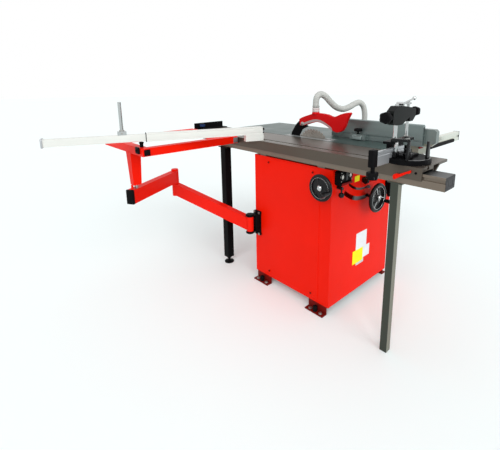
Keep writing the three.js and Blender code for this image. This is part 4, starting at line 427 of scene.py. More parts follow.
# %% Shop shapes
def broken(shape, edge, steps=2, sharper=30):
    """Bevels the edges that turn by more than an angle"""
    if edge:
        sharp = [e for e in shape.edges if len(e.link_faces) == 2 and e.calc_face_angle() > math.radians(sharper)]
        bmesh.ops.bevel(shape, geom=sharp, offset=edge, segments=steps, profile=0.5, affect="EDGES",
                        clamp_overlap=True, material=-1)
    return shape


def slab(low, high, edge=1.0, steps=2):
    """A block between two corners"""
    shape = bmesh.new()
    bmesh.ops.create_cube(shape, size=1.0)
    low, high = Vector(low), Vector(high)
    bmesh.ops.scale(shape, vec=high - low, verts=shape.verts)
    bmesh.ops.translate(shape, vec=(low + high) / 2, verts=shape.verts)
    return broken(shape, edge, steps)


def lay_along(shape, start, end):
    """Turns a shape drawn along +Z to run from one point towards another"""
    start, end = Vector(start), Vector(end)
    turned_to = (end - start).to_track_quat("Z", "Y").to_matrix().to_4x4()
    bmesh.ops.transform(shape, matrix=Matrix.Translation(start) @ turned_to, verts=shape.verts)
    return shape


def rod(start, end, radius, tip=None, sides=24, edge=0.0):
    """A round bar, or a taper"""
    shape = bmesh.new()
    long = (Vector(end) - Vector(start)).length
    bmesh.ops.create_cone(shape, cap_ends=True, segments=sides, radius1=radius,
                          radius2=radius if tip is None else tip, depth=long)
    bmesh.ops.translate(shape, vec=(0, 0, long / 2), verts=shape.verts)
    return lay_along(broken(shape, edge, 2, 60), start, end)


def turned(rows, start, end, steps=32):
    """A part turned on a lathe: rows of radius and height from start towards end"""
    shape = bmesh.new()
    verts = [shape.verts.new((radius, 0, height)) for radius, height in rows]
    edges = [shape.edges.new(pair) for pair in zip(verts, verts[1:])]
    bmesh.ops.spin(shape, geom=verts + edges, cent=(0, 0, 0), axis=(0, 0, 1), angle=math.tau, steps=steps,
                   use_merge=True)
    bmesh.ops.remove_doubles(shape, verts=shape.verts, dist=0.0005)
    bmesh.ops.recalc_face_normals(shape, faces=shape.faces)
    return lay_along(shape, start, end)


def cut_plate(outline, axis, low, high, edge=0.0, steps=2):
    """A plate cut to an outline and given its thickness along an axis"""
    shape = bmesh.new()
    deep = {"x": lambda p: (low, p[0], p[1]), "y": lambda p: (p[0], low, p[1]), "z": lambda p: (p[0], p[1], low)}
    face = shape.faces.new([shape.verts.new(deep[axis](p)) for p in outline])
    pushed = bmesh.ops.extrude_face_region(shape, geom=[face])
    moved = [v for v in pushed["geom"] if isinstance(v, bmesh.types.BMVert)]
    bmesh.ops.translate(shape, vec=[(high - low) if letter == axis else 0 for letter in "xyz"], verts=moved)
    bmesh.ops.recalc_face_normals(shape, faces=shape.faces)
    return broken(shape, edge, steps)


def ring(middle, along, radius, wire, steps=64, sides=14):
    """A round wire bent to a ring"""
    rows = [(radius + wire * math.cos(a), wire * math.sin(a)) for a in
            (math.tau * i / sides for i in range(sides + 1))]
    return turned(rows, middle, Vector(middle) + Vector(along), steps)


def screw(point, along, radius, height=None):
    """A socket cap screw: a bevelled head with a hexagon sunk in it"""
    height = height or radius * 0.7
    shape = bmesh.new()
    bmesh.ops.create_cone(shape, cap_ends=True, segments=18, radius1=radius, radius2=radius, depth=height)
    bmesh.ops.translate(shape, vec=(0, 0, height / 2), verts=shape.verts)
    broken(shape, radius * 0.14, 2, 60)
    top = max(shape.faces, key=lambda f: f.calc_center_median().z)
    bmesh.ops.inset_region(shape, faces=[top], thickness=radius * 0.36, depth=0)
    bmesh.ops.inset_region(shape, faces=[top], thickness=radius * 0.02, depth=-height * 0.5)
    return lay_along(shape, point, Vector(point) + Vector(along))


def hex_bolt(point, along, radius):
    """A hexagon head on a washer"""
    far = Vector(point) + Vector(along)
    washer = turned([(0, 0), (radius * 1.35, 0), (radius * 1.35, radius * 0.18), (0, radius * 0.18)], point, far)
    head = rod(point, Vector(point) + Vector(along).normalized() * radius * 0.85, radius, sides=6,
               edge=radius * 0.08)
    return [washer, head]


def make_piece(name, shapes, finish, body, place=cabinet, smooth=35):
    """Gathers shapes into one piece that rides on a body"""
    whole = bmesh.new()
    for shape in shapes:
        for each in shape if isinstance(shape, list) else [shape]:
            gathered = bpy.data.meshes.new("gathered")
            each.to_mesh(gathered)
            each.free()
            whole.from_mesh(gathered)
            bpy.data.meshes.remove(gathered)
    bmesh.ops.transform(whole, matrix=place, verts=whole.verts)
    mesh = bpy.data.meshes.new(name)
    whole.to_mesh(mesh)
    whole.free()
    for polygon in mesh.polygons:
        polygon.use_smooth = True
    mesh.set_sharp_from_angle(angle=math.radians(smooth))
    mesh.materials.append(finish)
    made = bpy.data.objects.new(name, mesh)
    bpy.context.scene.collection.objects.link(made)
    if body:
        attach(made, body)
    return made


print("shop shapes are ready")

# %% [markdown]
# ## The dust hose
# The hose is wound plastic with a fine rib, 37 mm wide. It leaves the guard's spout, rises in a low
# loop over the table, and hangs past the table's right edge to an outlet low on the cabinet. A curve
# with a round bevel would be quick but smooth. Here a straight ribbed hose is spun from its own
# profile and every ring is then carried onto the route. It is made in three stretches, split where it
# crosses the guard's hinge, the blade's lift and the tilt; each stretch is fixed and rides on no body.

# %% The hose's route
hose_route = [
    (284, 337, 1021.3), (284, 337, 1060), (292, 335, 1084), (318, 331, 1096), (350, 324, 1084),
    (386, 315, 1052), (430, 307, 1021), (500, 304, 1004), (580, 308, 1014), (640, 311, 1030),
    (690, 309, 1034), (724, 304, 1010), (742, 302, 960), (748, 305, 900), (750, 310, 800), (750, 316, 700),
    (748, 322, 600), (738, 327, 500), (712, 329, 420), (676, 330, 362), (640, 330, 332), (600.3, 330, 330)]


def smooth_line(points, steps=40):
    """A centripetal curve through points, as the drawing's own"""
    points = [Vector(p) for p in points]
    points = [points[0] * 2 - points[1]] + points + [points[-1] * 2 - points[-2]]
    line = []
    for i in range(1, len(points) - 2):
        p0, p1, p2, p3 = points[i - 1:i + 3]
        d0, d1, d2 = ((b - a).length ** 0.5 for a, b in ((p0, p1), (p1, p2), (p2, p3)))
        leave = ((p1 - p0) / d0 - (p2 - p0) / (d0 + d1) + (p2 - p1) / d1) * d1
        reach = ((p2 - p1) / d1 - (p3 - p1) / (d1 + d2) + (p3 - p2) / d2) * d1
        for k in range(steps):
            t = k / steps
            line.append(p1 * (2 * t ** 3 - 3 * t ** 2 + 1) + leave * (t ** 3 - 2 * t ** 2 + t)
                        + p2 * (3 * t ** 2 - 2 * t ** 3) + reach * (t ** 3 - t ** 2))
    line.append(points[-2])
    return line


hose_line = smooth_line(hose_route)
travelled = [0.0]
for a, b in zip(hose_line, hose_line[1:]):
    travelled.append(travelled[-1] + (b - a).length)
hose_length = travelled[-1]
print("hose is", round(hose_length), "mm long")


# %% Ribbed hose, spun straight and then laid on the route
def along_hose(distance):
    """Point and direction on the route"""
    distance = min(max(distance, 0.0), hose_length)
    i = min(range(len(travelled) - 1), key=lambda n: abs((travelled[n] + travelled[n + 1]) / 2 - distance))
    part = (distance - travelled[i]) / (travelled[i + 1] - travelled[i])
    before, after = hose_line[max(i - 1, 0)], hose_line[min(i + 2, len(hose_line) - 1)]
    return hose_line[i].lerp(hose_line[i + 1], part), (after - before).normalized()


def hose_stretch(name, start_share, end_share, bodies, bend_from, bend_to):
    start, end = start_share * hose_length, end_share * hose_length
    ribs = round((end - start) / 7.0)
    pitch = (end - start) / ribs
    rows = [(0.0, 0.0), (16.6, 0.0)]
    for rib in range(ribs):
        rows += [(radius, (rib + share) * pitch) for share, radius in
                 ((0.16, 16.6), (0.34, 18.1), (0.5, 18.45), (0.66, 18.1), (0.84, 16.6))]
    rows += [(16.6, end - start), (0.0, end - start)]
    shape = turned(rows, (0, 0, 0), (0, 0, 1), 22)
    for vertex in shape.verts:
        middle, forward = along_hose(start + vertex.co.z)
        side = Vector((0, 1, 0)).cross(forward).normalized()
        vertex.co = middle + side * vertex.co.x + forward.cross(side) * vertex.co.y
    bmesh.ops.recalc_face_normals(shape, faces=shape.faces)
    made = make_piece(name, [shape], hose_plastic, None, smooth=60)
    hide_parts(name.replace("ribbed_", ""))
    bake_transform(made)
    return made


splits = (0, 0.075, 0.15, 1)
hose_ends = [along_hose(share * hose_length)[0] for share in splits]
turn_ends = (Vector((398, 313, 1043)), Vector((560, 306, 900)))
hose_by_guard = hose_stretch("ribbed_hose_end", *splits[0:2], ("guard", "elevating"), hose_ends[0], hose_ends[1])
hose_over_table = hose_stretch("ribbed_hose_mid", *splits[1:3], ("elevating", "cradle"), hose_ends[1], hose_ends[2])
hose_to_outlet = hose_stretch("ribbed_hose_main", *splits[2:4], ("cradle", "base"), *turn_ends)
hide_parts("hose_end")
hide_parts("hose_mid")


def hose_path(start_share, end_share):
    shares = (start_share + (end_share - start_share) * k / 60 for k in range(61))
    return [tuple(cabinet @ along_hose(share * hose_length)[0]) for share in shares]


# The long stretch's path, from the outlet end back to where it starts, is worked out but not kept
hose_path(1, splits[2])[0]
hose_path(1, splits[2])
print("hose laid, ends at", [tuple(round(v) for v in p) for p in hose_ends])

# %% Clips and cuffs on the hose
make_piece("spout_clip", [turned([(18.9, 0), (20.1, 0), (20.1, 9), (18.9, 9), (18.9, 0)], (284, 337, 1024), (284, 337, 1040)),
                          slab((300, 333, 1025), (309, 341, 1032), 1.0), screw((309, 337, 1028.5), (1, 0, 0), 3)],
           zinc, "guard")
make_piece("outlet_clip", [turned([(18.9, 0), (20.1, 0), (20.1, 9), (18.9, 9), (18.9, 0)], (604, 330, 330.6), (620, 330, 331.5)),
                           slab((606, 326, 350), (613, 334, 358), 1.0)], zinc, "base")

# %% [markdown]
# ## Guard and blade
# The guard is a welded sheet hood with soft edges that ends in a lifted front grip. A smooth tone
# comes from its bevelled crown, so the hood is cut from its side outline, its lower faces are taken
# off, its crown is bevelled, and it is given a sheet's thickness. A pale strip runs along each side
# low on the hood, where the real one is printed: it stays plain here.

# %% The guard's hood
crown = [(455, 950), (438, 959), (420, 966), (390, 976), (352, 988), (317, 993), (280, 992), (246, 988), (225, 981),
         (205, 978), (184, 985), (165, 994), (143, 1001), (123, 1006), (104, 1008), (98, 1003)]
mouth = [(103, 994), (108, 985), (120, 963), (130, 934), (142, 913), (151, 905), (161, 900), (174, 897), (187, 897),
         (204, 903), (222, 911), (246, 924), (271, 934), (293, 940), (315, 943), (340, 939), (365, 932), (392, 923),
         (419, 914), (433, 913), (446, 914)]
hood = cut_plate(crown + mouth, "x", 272, 296)
low_faces = [f for f in hood.faces if abs(f.normal.x) < 0.5 and f.calc_center_median().y > 160
             and min((f.calc_center_median().yz - Vector(p)).length for p in mouth) < 16 and f.normal.z < 0.2]
bmesh.ops.delete(hood, geom=low_faces, context="FACES_ONLY")
crown_edges = [e for e in hood.edges if len(e.link_faces) == 2 and e.calc_face_angle() > math.radians(60)]
bmesh.ops.bevel(hood, geom=crown_edges, offset=4.5, segments=4, profile=0.5, affect="EDGES", clamp_overlap=True,
                material=-1)
knife_low, knife_high = (((cabinet.inverted() @ Vector(corner)).x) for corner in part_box("riving_knife"))
for cut_x in (knife_low - 1.2, knife_high + 1.2):
    bmesh.ops.bisect_plane(hood, geom=hood.verts[:] + hood.edges[:] + hood.faces[:], plane_co=(cut_x, 0, 0),
                           plane_no=(1, 0, 0))
bmesh.ops.bisect_plane(hood, geom=hood.verts[:] + hood.edges[:] + hood.faces[:], plane_co=(0, 398, 0), plane_no=(0, 1, 0))
slot_faces = [f for f in hood.faces if f.calc_center_median().y > 398 and abs(f.normal.x) < 0.5
              and knife_low - 1.2 < f.calc_center_median().x < knife_high + 1.2]
bmesh.ops.delete(hood, geom=slot_faces, context="FACES")
bmesh.ops.recalc_face_normals(hood, faces=hood.faces)
bmesh.ops.solidify(hood, geom=hood.faces[:], thickness=1.8)
spout = turned([(17.5, 0), (22.5, 0), (20.8, 8), (20.8, 12), (17.5, 12), (17.5, 0)], (284, 337, 986), (284, 337, 1000), 40)
cuff = turned([(17.5, 0), (20.3, 0), (20.3, 4), (21.2, 5), (21.2, 8), (20.3, 9), (20.3, 15), (21.2, 16), (21.2, 19),
               (20.3, 20), (20.3, 24), (17.5, 24), (17.5, 0)], (284, 337, 997), (284, 337, 1020), 40)
guard_bolts = [turned([(0, 0), (12, 0), (12, 3), (9, 5), (0, 5)], (296, 425, 924), (300, 425, 924)),
               turned([(0, 0), (12, 0), (12, 3), (9, 5), (0, 5)], (272, 425, 924), (268, 425, 924))]
hood_piece = make_piece("guard_hood", [hood, spout], guard_coat, "guard", smooth=50)
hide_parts("blade_guard")
make_piece("spout_cuff", [cuff], cuff_plastic, "guard", smooth=50)
make_piece("guard_hinge", guard_bolts + [rod((268, 425, 924), (300, 425, 924), 4)], zinc, "guard")
strip = [(446, 916), (419, 917), (392, 926), (365, 935), (340, 942), (315, 946), (293, 943), (271, 937), (246, 927),
         (222, 914), (210, 908), (214, 918), (232, 929), (260, 944), (292, 955), (318, 958), (345, 955), (372, 947),
         (400, 937), (425, 928)]
make_piece("guard_side_strips", [cut_plate(strip, "x", 271.2, 272.05), cut_plate(strip, "x", 295.95, 296.8)],
           smoke_plastic, "guard")
print("guard made with", len(hood_piece.data.polygons), "faces")

# %% [markdown]
# The blade itself keeps its solid, which already has its teeth. Carbide tips are brazed on every
# tooth of the real one, so the visible teeth get small bright tips. The blade is clamped between
# two turned collars with a nut.

# %% Blade tips and thin rings on the blade's faces
blade_middle = Vector((284, 353, 773))
tips = []
for tooth in range(40):
    swing = Matrix.Translation(blade_middle) @ Matrix.Rotation(math.tau * (tooth + 0.25) / 40, 4, "X")
    tip = slab((-1.4, -2.2, 122.2), (1.4, -0.2, 126.4), 0.2, 1)
    bmesh.ops.transform(tip, matrix=swing, verts=tip.verts)
    tips.append(tip)
make_piece("blade_tips", tips, turned_steel, "spindle", smooth=20)
make_piece("blade_rings", [ring((285.25, 353, 773), (1, 0, 0), 96, 0.35, 96, 6),
                           ring((282.75, 353, 773), (1, 0, 0), 96, 0.35, 96, 6)], zinc, "spindle")

# %% [markdown]
# ## Knobs and wheels
# The clamp, the gauge and the stops are set with black lobed knobs. A knob could be turned round, but
# its grip comes from the lobes, so a cylinder's points are pushed in and out round its axis before
# its rims are rounded.


# %% A lobed knob and a countersunk washer
def lobed_knob(point, along, radius, height, lobes=5, depth=0.14):
    shape = bmesh.new()
    bmesh.ops.create_cone(shape, cap_ends=True, segments=lobes * 10, radius1=radius, radius2=radius, depth=height)
    for vertex in shape.verts:
        angle = math.atan2(vertex.co.y, vertex.co.x)
        vertex.co.xy *= 1 - depth * (0.5 - 0.5 * math.cos(lobes * angle))
        vertex.co.z += height / 2
    broken(shape, radius * 0.16, 3, 60)
    boss = turned([(0, height * 0.98), (radius * 0.45, height * 0.98), (radius * 0.4, height * 1.1), (0, height * 1.12)],
                  (0, 0, 0), (0, 0, 1), 24)
    far = Vector(point) + Vector(along)
    return [lay_along(shape, point, far), lay_along(boss, point, far)]


def spoke(middle, toward, length, width, thick, axis):
    """A flat spoke from a hub out to a rim"""
    toward, axis = Vector(toward).normalized(), Vector(axis).normalized()
    shape = slab((0, -width / 2, -thick / 2), (length, width / 2, thick / 2), thick * 0.3)
    frame_of = Matrix((toward, axis.cross(toward), axis)).transposed().to_4x4()
    bmesh.ops.transform(shape, matrix=Matrix.Translation(Vector(middle)) @ frame_of, verts=shape.verts)
    return shape


print("a knob has", len(lobed_knob((0, 0, 0), (0, 0, 1), 20, 20)[0].faces), "faces")

# %% [markdown]
# The two handwheels differ. The blade's height is set by the large one, whose polished web catches
# the light between black spokes; the tilt is set by the smaller one, a dished black wheel. Their
# solids already turn and carry the crank pins, so the finer rim, web and hub are fitted over them.

# %% Handwheels
elevation_middle = Vector((318.1, -62, 572.1))
make_piece("elevation_wheel_rim", [ring(elevation_middle, (0, -1, 0), 70, 9.0, 72, 16)], gloss_black,
           "elevation_wheel", smooth=60)
make_piece("elevation_wheel_dish", [turned([(14, 2), (44, -8), (63, -4), (63, -1), (44, -5), (14, 5), (14, 2)],
                                           elevation_middle, elevation_middle + Vector((0, -1, 0)), 64)],
           gloss_black, "elevation_wheel", smooth=60)
elevation_web = [ring(elevation_middle + Vector((0, -6, 0)), (0, -1, 0), 60.5, 1.4, 64, 8),
                 ring(elevation_middle + Vector((0, 2, 0)), (0, -1, 0), 36, 1.2, 64, 8),
                 turned([(0, 0), (15, 0), (15, 6), (12, 9), (7, 9), (6, 12), (0, 12)], elevation_middle + Vector((0, -8, 0)),
                        elevation_middle + Vector((0, -20, 0)))]
for turn_angle in (-100, 20, 140):
    swing = math.radians(turn_angle)
    toward = Vector((-math.sin(swing), 0, math.cos(swing)))
    elevation_web.append(spoke(elevation_middle + toward * 12 + Vector((0, -4, 0)), toward, 50, 5, 2.4, (0, -1, 0)))
make_piece("elevation_wheel_web", elevation_web, chrome, "elevation_wheel")
tilt_middle = Vector((-47, 30, 684))
make_piece("tilt_wheel_rim", [ring(tilt_middle, (-1, 0, 0), 57, 8.8, 72, 16),
                              turned([(14, 2), (48, -5), (55, -3), (55, 1), (48, -1), (14, 6), (14, 2)], tilt_middle,
                                     tilt_middle + Vector((-1, 0, 0)), 64)],
           gloss_black, "tilt_wheel", smooth=60)
make_piece("tilt_wheel_hub", [turned([(0, 6), (13, 6), (13, 11), (9, 14), (0, 14)], tilt_middle,
                                     tilt_middle + Vector((-1, 0, 0))),
                              ring(tilt_middle + Vector((-8.2, 0, 0)), (-1, 0, 0), 50, 0.7, 64, 8)],
           chrome, "tilt_wheel")
print("handwheels dressed")

# %% [markdown]
# ## Cabinet front
# The front wears three plain plates and a small yellow one by the tilt scale. On the real machine
# they are printed; here they stay bare. Each is a thin plate with rounded corners, since a decal
# painted in a material would have no edge to catch the light.


# %% Bare plates and screws
def bare_plate(name, low, high, finish, body="base"):
    plate = slab(low, high, 0.4, 1)
    return make_piece(name, [plate], finish, body)


bare_plate("plate_tall", (230, -1.3, 268), (332, 0.5, 376), plate_white)
bare_plate("plate_side", (290, -1.5, 216), (366, 0.5, 282), plate_white)
bare_plate("plate_low", (236, -1.1, 190), (310, 0.5, 240), plate_silver)
bare_plate("plate_bright", (202, -2.0, 206), (298, 0.5, 282), plate_yellow)
bare_plate("plate_scale", (190, -1.6, 670), (232, 0.5, 700), plate_yellow)
door_screws = [screw((-4.9, y, z), (-1, 0, 0), 5) for y in (112, 425) for z in (84, 736)]
make_piece("side_panel_screws", door_screws, foot_shade_and_screw_red, "base")
foot_bolts = []
for x in (-16, 582):
    for y in (36, 103, 441, 508):
        foot_bolts += hex_bolt((x, y, 6), (0, 0, 1), 8)
make_piece("foot_bolts", foot_bolts, zinc, "base")
foot_lugs = [turned([(5, 0), (12, 0), (12, 26), (9, 29), (5, 29), (5, 0)], (x, y, 6), (x, y, 36), 24)
             for x, y in ((-16, 70), (582, 70), (-16, 475), (582, 475))]
make_piece("levelling_lugs", foot_lugs, black_plastic, "base")
print("plates and screws made")

# %% [markdown]
# The switch box has round white buttons in raised bezels and a red stop bar below. The terminal box
# by it is a closed moulding with a lid, a cable gland and four screws.

# %% Switch box and terminal box
switch_shapes = []
for x in (36, 99):
    switch_shapes.append(turned([(11.9, 0), (15.5, 0), (15.5, 2.4), (14.4, 3.6), (11.9, 3.6), (11.9, 0)], (x, -34, 732),
                                (x, -38, 732), 32))
switch_shapes.append(slab((58, -36.5, 712), (77, -33.8, 750), 1.2))
make_piece("switch_bezels", switch_shapes, gloss_black, "base")
make_piece("switch_bar", [slab((26, -41.5, 692.5), (109, -37, 703.5), 2.2, 3)], bar_red, "base")
make_piece("switch_screws", [screw((x, -34, z), (0, -1, 0), 2.6) for x in (26, 109) for z in (712, 753)], zinc,
           "base")
make_piece("terminal_lid", [slab((502, -31.5, 539), (551, -27, 618), 2.4, 3),
                            turned([(0, 0), (11, 0), (11, 8), (9, 9), (9, 20), (0, 22)], (527, -15, 541), (527, -15, 519), 24)],
           black_plastic, "base")
make_piece("terminal_screws", [screw((x, -31.5, z), (0, -1, 0), 2.6) for x in (508, 545) for z in (546, 611)], zinc,
           "base")
print("control boxes dressed")

# %% [markdown]
# ## Mitre gauge and clamp
# The gauge's disc carries a graduated strip, two upright brackets that hold its bar, and the clamp's
# chrome post. The end of its fence is closed by a black cap over a lobed knob.

# %% Gauge details
gauge_black = lobed_knob((-133, -283, 833), (0, 0, -1), 23.5, 28, 5)
gauge_black.append(slab((-151.5, -294.5, 852.5), (-119.5, -271.5, 918.5), 2.5, 3))
gauge_black.append(rod((-133, -283, 832), (-133, -283, 853), 8))
make_piece("gauge_end_cap", gauge_black, black_plastic, "mitre")
brackets = [cut_plate([(-20, 870), (4, 870), (4, 900), (0, 935), (-4, 952), (-12, 952), (-16, 935), (-20, 900)], "y",
                      -362, -354, 1.2),
            cut_plate([(72, 870), (98, 870), (98, 890), (94, 925), (90, 938), (80, 938), (76, 925), (72, 890)], "y",
                      -398, -390, 1.2),
            slab((-14, -362, 940), (-4, -290, 950), 1.5)]
brackets += lobed_knob((30, -340, 870), (0, 0, 1), 19, 22, 6)
brackets.append(slab((-2, -305, 870), (28, -289.5, 893), 2.0))
brackets.append(turned([(9, 0), (15, 0), (15, 10), (11, 14), (9, 14), (9, 0)], (12, -289, 933), (12, -289, 950), 28))
brackets.append(turned([(9.6, 0), (15, 0), (15, 8), (11, 12), (9.6, 12), (9.6, 0)], (110, -289, 933), (110, -289, 950), 28))
make_piece("gauge_brackets", brackets, gloss_black, "mitre")
make_piece("gauge_post_foot", [rod((12, -297.2, 884), (12, -297.2, 931), 7.6, edge=1)], chrome, "mitre")
scale_arc = [(68 + radius * math.sin(math.radians(a)), -320 - radius * math.cos(math.radians(a)))
             for radius, angles in ((87, range(-62, 63, 4)), (82, range(62, -63, -4))) for a in angles]
make_piece("gauge_scale", [cut_plate(scale_arc, "z", 869.5, 870.6)], scale_metal, "mitre")
print("gauge dressed")

# %% [markdown]
# The clamp is a black casting that slides on the post and carries the spindle. Both screws end in
# black lobed knobs, and the pad under the spindle is a turned foot.

# %% Clamp knobs
clamp_shapes = lobed_knob((-56, -289, 1033), (-1, 0, 0), 23.5, 25.5, 5)
clamp_shapes += lobed_knob((164, -289, 1044), (1, 0, 0), 20.5, 23.5, 5)
make_piece("clamp_knobs", clamp_shapes, black_plastic, "clamp_arm")
make_piece("clamp_spindle_foot", [turned([(0, 0), (15, 0), (15, 5), (10, 11), (6, 14), (0, 14)], (110, -289, 933.4),
                                         (110, -289, 950), 32)], zinc, "clamp_spindle")

# %% [markdown]
# ## Swing-arm hinge
# The swing arm turns in a black cast hinge on the cabinet's side. Its ears are rounded over the
# arm's barrel and a hollow cover joins them, so the casting reads as one part and not as two plates.

# %% Hinge cover, bolts and barrel caps
hinge_shapes = [turned([(0, 0), (25, 0), (25, 5), (21, 9), (0, 10)], (-60, 527, top), (-60, 527, top + up), 32)
                for top, up in ((414.5, 1), (316.5, -1))]
hinge_shapes.append(slab((-35, 500, 321), (-0.5, 545, 410), 4, 3))
hinge_shapes += [slab((-13, 492, 286), (-0.5, 552, 300), 3), slab((-13, 492, 415), (-0.5, 552, 429), 3)]
make_piece("hinge_cover", hinge_shapes, black_paint, "base")
make_piece("hinge_bolts", [hex_bolt((-13, y, z), (-1, 0, 0), 5.5) for y in (503, 541) for z in (293, 422)], zinc,
           "base")
make_piece("elbow_cap", [turned([(0, 0), (21.5, 0), (21.5, 2), (19, 4), (0, 4.5)], (-232, 1055, 624.5),
                                (-232, 1055, 640), 32)], arm_coat, "inner_link")
make_piece("arm_end_cap", [slab((425, -21, 541.3), (438.8, 21, 618.7), 1.8)], black_plastic, "outer_link",
           place=outer_arm)
make_piece("leg_pin_sleeve", [rod((-567.5, 850, 618.2), (-567.5, 850, 640.5), 9.6, edge=0.8)], zinc, "carriage")
print("hinge dressed")

# %% [markdown]
# ## Outrigger, crosscut fence and stops
# Square tubes end in moulded caps. The crosscut fence ends in a dark blue cap at its joint with the
# extension, and its stop post is held by a small block with a lobed screw.

# %% Caps and screws on the outrigger and the fence
cap_shapes = [slab((-588, 669.5, 820), (-558, 674.5, 850), 1.5)]
cap_shapes.append(turned([(0, 0), (8.8, 0), (8.8, 19), (11.5, 19), (11.5, 24), (7, 27), (0, 27)], (-573, 730, 855),
                         (-573, 730, 890), 24))
cap_shapes.append(slab((-603, 706, 826), (-592.5, 742, 859), 3, 3))
cap_shapes += hex_bolt((-603, 724, 842), (-1, 0, 0), 6)
make_piece("outrigger_caps", cap_shapes, black_plastic, "carriage")
make_piece("outrigger_inner_cap", [slab((-52, 669.5, 820), (-22, 674.5, 850), 1.5)], casting_coat, "carriage")
make_piece("fence_joint_cap", [slab((-619.5, -66.0, 884.2), (-615.5, -30.0, 926.8), 1.0, 2)], cap_plastic, "crosscut",
           place=fence_line)
make_piece("extension_end_cap", [slab((-1054.5, -65.5, 884.5), (-1046, -30.5, 926.5), 2.0, 3)], mitre_metal, "extension",
           place=fence_line)
post_shapes = [turned([(8.2, 0), (11.5, 0), (11.5, 4), (10, 6), (8.2, 6), (8.2, 0)], (-723, -48, 941),
                      (-723, -48, 960), 24), screw((-723, -66.5, 932), (0, -1, 0), 4, 2)]
make_piece("post_screw", post_shapes, zinc, "post", place=fence_line)
stop_shapes = lobed_knob((36, 1130, 866), (0, 0, 1), 19, 17, 5)
make_piece("stop_knob", stop_shapes, blue_plastic, "carriage")
print("outrigger and fence dressed")

# %% [markdown]
# ## Tables, rip fence and rails
# The insert is held by flush screws. The rip fence is clamped by a black knob on a small grey
# bracket, and the head block has an eccentric, a red pad and four bolts. The rail and the beam end
# in black caps.

# %% Screws, caps and the fence clamp
beam_low, beam_high = 776, 828
make_piece("insert_screws", [screw((x, y, 849.2), (0, 0, 1), 3.2, 1.1) for x in (246, 300) for y in (214, 526)],
           zinc, "base")
make_piece("rip_knob_grip", lobed_knob((386, 118, 898), (0, 0, 1), 22, 15, 6), black_plastic, "rip_knob")
jaw = cut_plate([(366, 853.5), (404, 853.5), (404, 876), (396, 882), (380, 882), (370, 874)], "y", 88, 148, 2.5, 3)
make_piece("rip_clamp_jaw", [jaw], rip_metal, "rip")
head_shapes = [hex_bolt((x, -212, z), (0, -1, 0), 5.5) for x in (432, 470) for z in (806, 852)]
make_piece("rip_head_bolts", head_shapes, zinc, "rip")
make_piece("rip_head_pad", [slab((420, -216, 838), (462, -211.5, 850), 1.5)], bar_red, "rip")
rail_end = [slab((476, -150.5, 789), (480.5, -113.5, 847), 1.5), slab((1156.5, -150.5, 789), (1160, -113.5, 847), 1.5)]
make_piece("rail_caps", rail_end, black_plastic, "base")
cap_low, cap_high = beam_low + 1.5, beam_high - 1.5
cap_middle = (cap_low + cap_high) / 2
make_piece("beam_cap", [slab((-10, -508, cap_low), (76, -504.5, cap_high), 0.8),
                        slab((0, -509.2, cap_middle - 18), (66, -507.5, cap_middle - 12), 0.6),
                        slab((0, -509.2, cap_middle + 12), (66, -507.5, cap_middle + 18), 0.6),
                        slab((10, -509.2, cap_middle - 12), (16, -507.5, cap_middle + 12), 0.5),
                        slab((50, -509.2, cap_middle - 12), (56, -507.5, cap_middle + 12), 0.5)],
           cap_plastic, "base")
# A thin pale strip on the T-slot's lip is a painted glint, standing for the bright line of light there
make_piece("t_slot_painted_glint", [slab((27.6, -421, 849.2), (29.4, 1179, 850.15), 0)], painted_glint_metal, "carriage")
make_piece("carriage_screws", [screw((-17.2, y, 828), (-1, 0, 0), 4.5) for y in (-398, 1140)], black_plastic,
           "carriage")
print("tables dressed")


# %% A black ring holds the hose where it turns down
def hose_ring(share, radius, width):
    middle, forward = along_hose(share * hose_length)
    rows = [(18.2, 0), (radius, 0.8), (radius, width - 0.8), (18.2, width), (18.2, 0)]
    return turned(rows, middle, middle + forward, 32)


hose_clip = make_piece("hose_clip", [hose_ring(0.525, 21.5, 8)], black_plastic, None)
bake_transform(hose_clip)

# %% [markdown]
# ## Floor and light
# The photograph is a cut-out on white with a faint shadow. The floor shows white to the camera by
# Is Camera Ray and keeps its shadow, and the lamps stay plain and soft, so that the red isn't bleached.

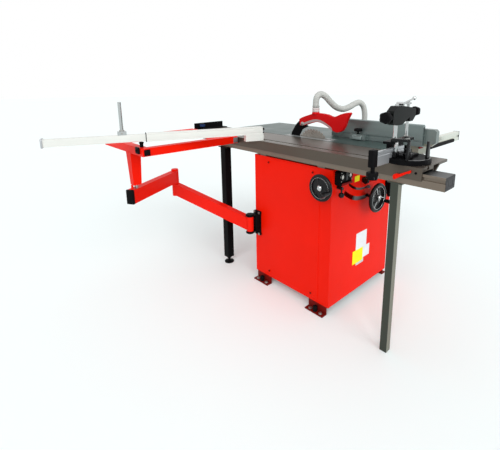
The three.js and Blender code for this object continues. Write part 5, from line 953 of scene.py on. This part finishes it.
# %% Floor and sky
floor_mesh = bpy.data.meshes.new("studio_floor")
floor_shape = bmesh.new()
bmesh.ops.create_circle(floor_shape, cap_ends=True, segments=96, radius=30)
bmesh.ops.translate(floor_shape, vec=(0, 0, -0.0005), verts=floor_shape.verts)
floor_shape.to_mesh(floor_mesh)
floor_shape.free()
studio_floor = bpy.data.objects.new("studio_floor", floor_mesh)
bpy.context.scene.collection.objects.link(studio_floor)
floor_finish = Finish("floor_finish")
seen = floor_finish.node("ShaderNodeLightPath", output="Is Camera Ray")
floor_finish.set(Base_Color=rgb(0.79, 0.85, 0.85), Roughness=0.9, Specular_IOR_Level=0.0)
floor_finish.set(Emission_Color=rgb(1, 1, 1), Emission_Strength=seen * 0.07)
floor_mesh.materials.append(floor_finish.material)
world = bpy.data.worlds.new("studio")
world.use_nodes = True
bpy.context.scene.world = world
sky = world.node_tree.nodes["Background"]
paths = world.node_tree.nodes.new("ShaderNodeLightPath")
shown = paths.outputs["Is Camera Ray"]
for ray in ("Is Transmission Ray", "Is Glossy Ray"):
    either = world.node_tree.nodes.new("ShaderNodeMath")
    either.operation = "MAXIMUM"
    world.node_tree.links.new(shown, either.inputs[0])
    world.node_tree.links.new(paths.outputs[ray], either.inputs[1])
    shown = either.outputs[0]
level = world.node_tree.nodes.new("ShaderNodeMapRange")
level.inputs["To Min"].default_value = 0.62
level.inputs["To Max"].default_value = 1.0
world.node_tree.links.new(shown, level.inputs["Value"])
world.node_tree.links.new(level.outputs[0], sky.inputs["Strength"])
sky.inputs["Color"].default_value = rgb(1, 1, 1)


# %% Lamps
def soft_sun(name, direction, strength, angle):
    lamp = bpy.data.lights.new(name, "SUN")
    lamp.energy = strength
    lamp.angle = math.radians(angle)
    made = bpy.data.objects.new(name, lamp)
    bpy.context.scene.collection.objects.link(made)
    made.rotation_euler = Vector(direction).to_track_quat("-Z", "Y").to_euler()
    return made


soft_sun("key_left", (0.75, 0.45, -0.6), 1.35, 35)
soft_sun("key_front", (0.1, 0.9, -0.45), 1.25, 40)
soft_sun("top_fill", (-0.2, -0.1, -1.0), 0.35, 60)
bpy.context.scene.view_settings.view_transform = "Standard"
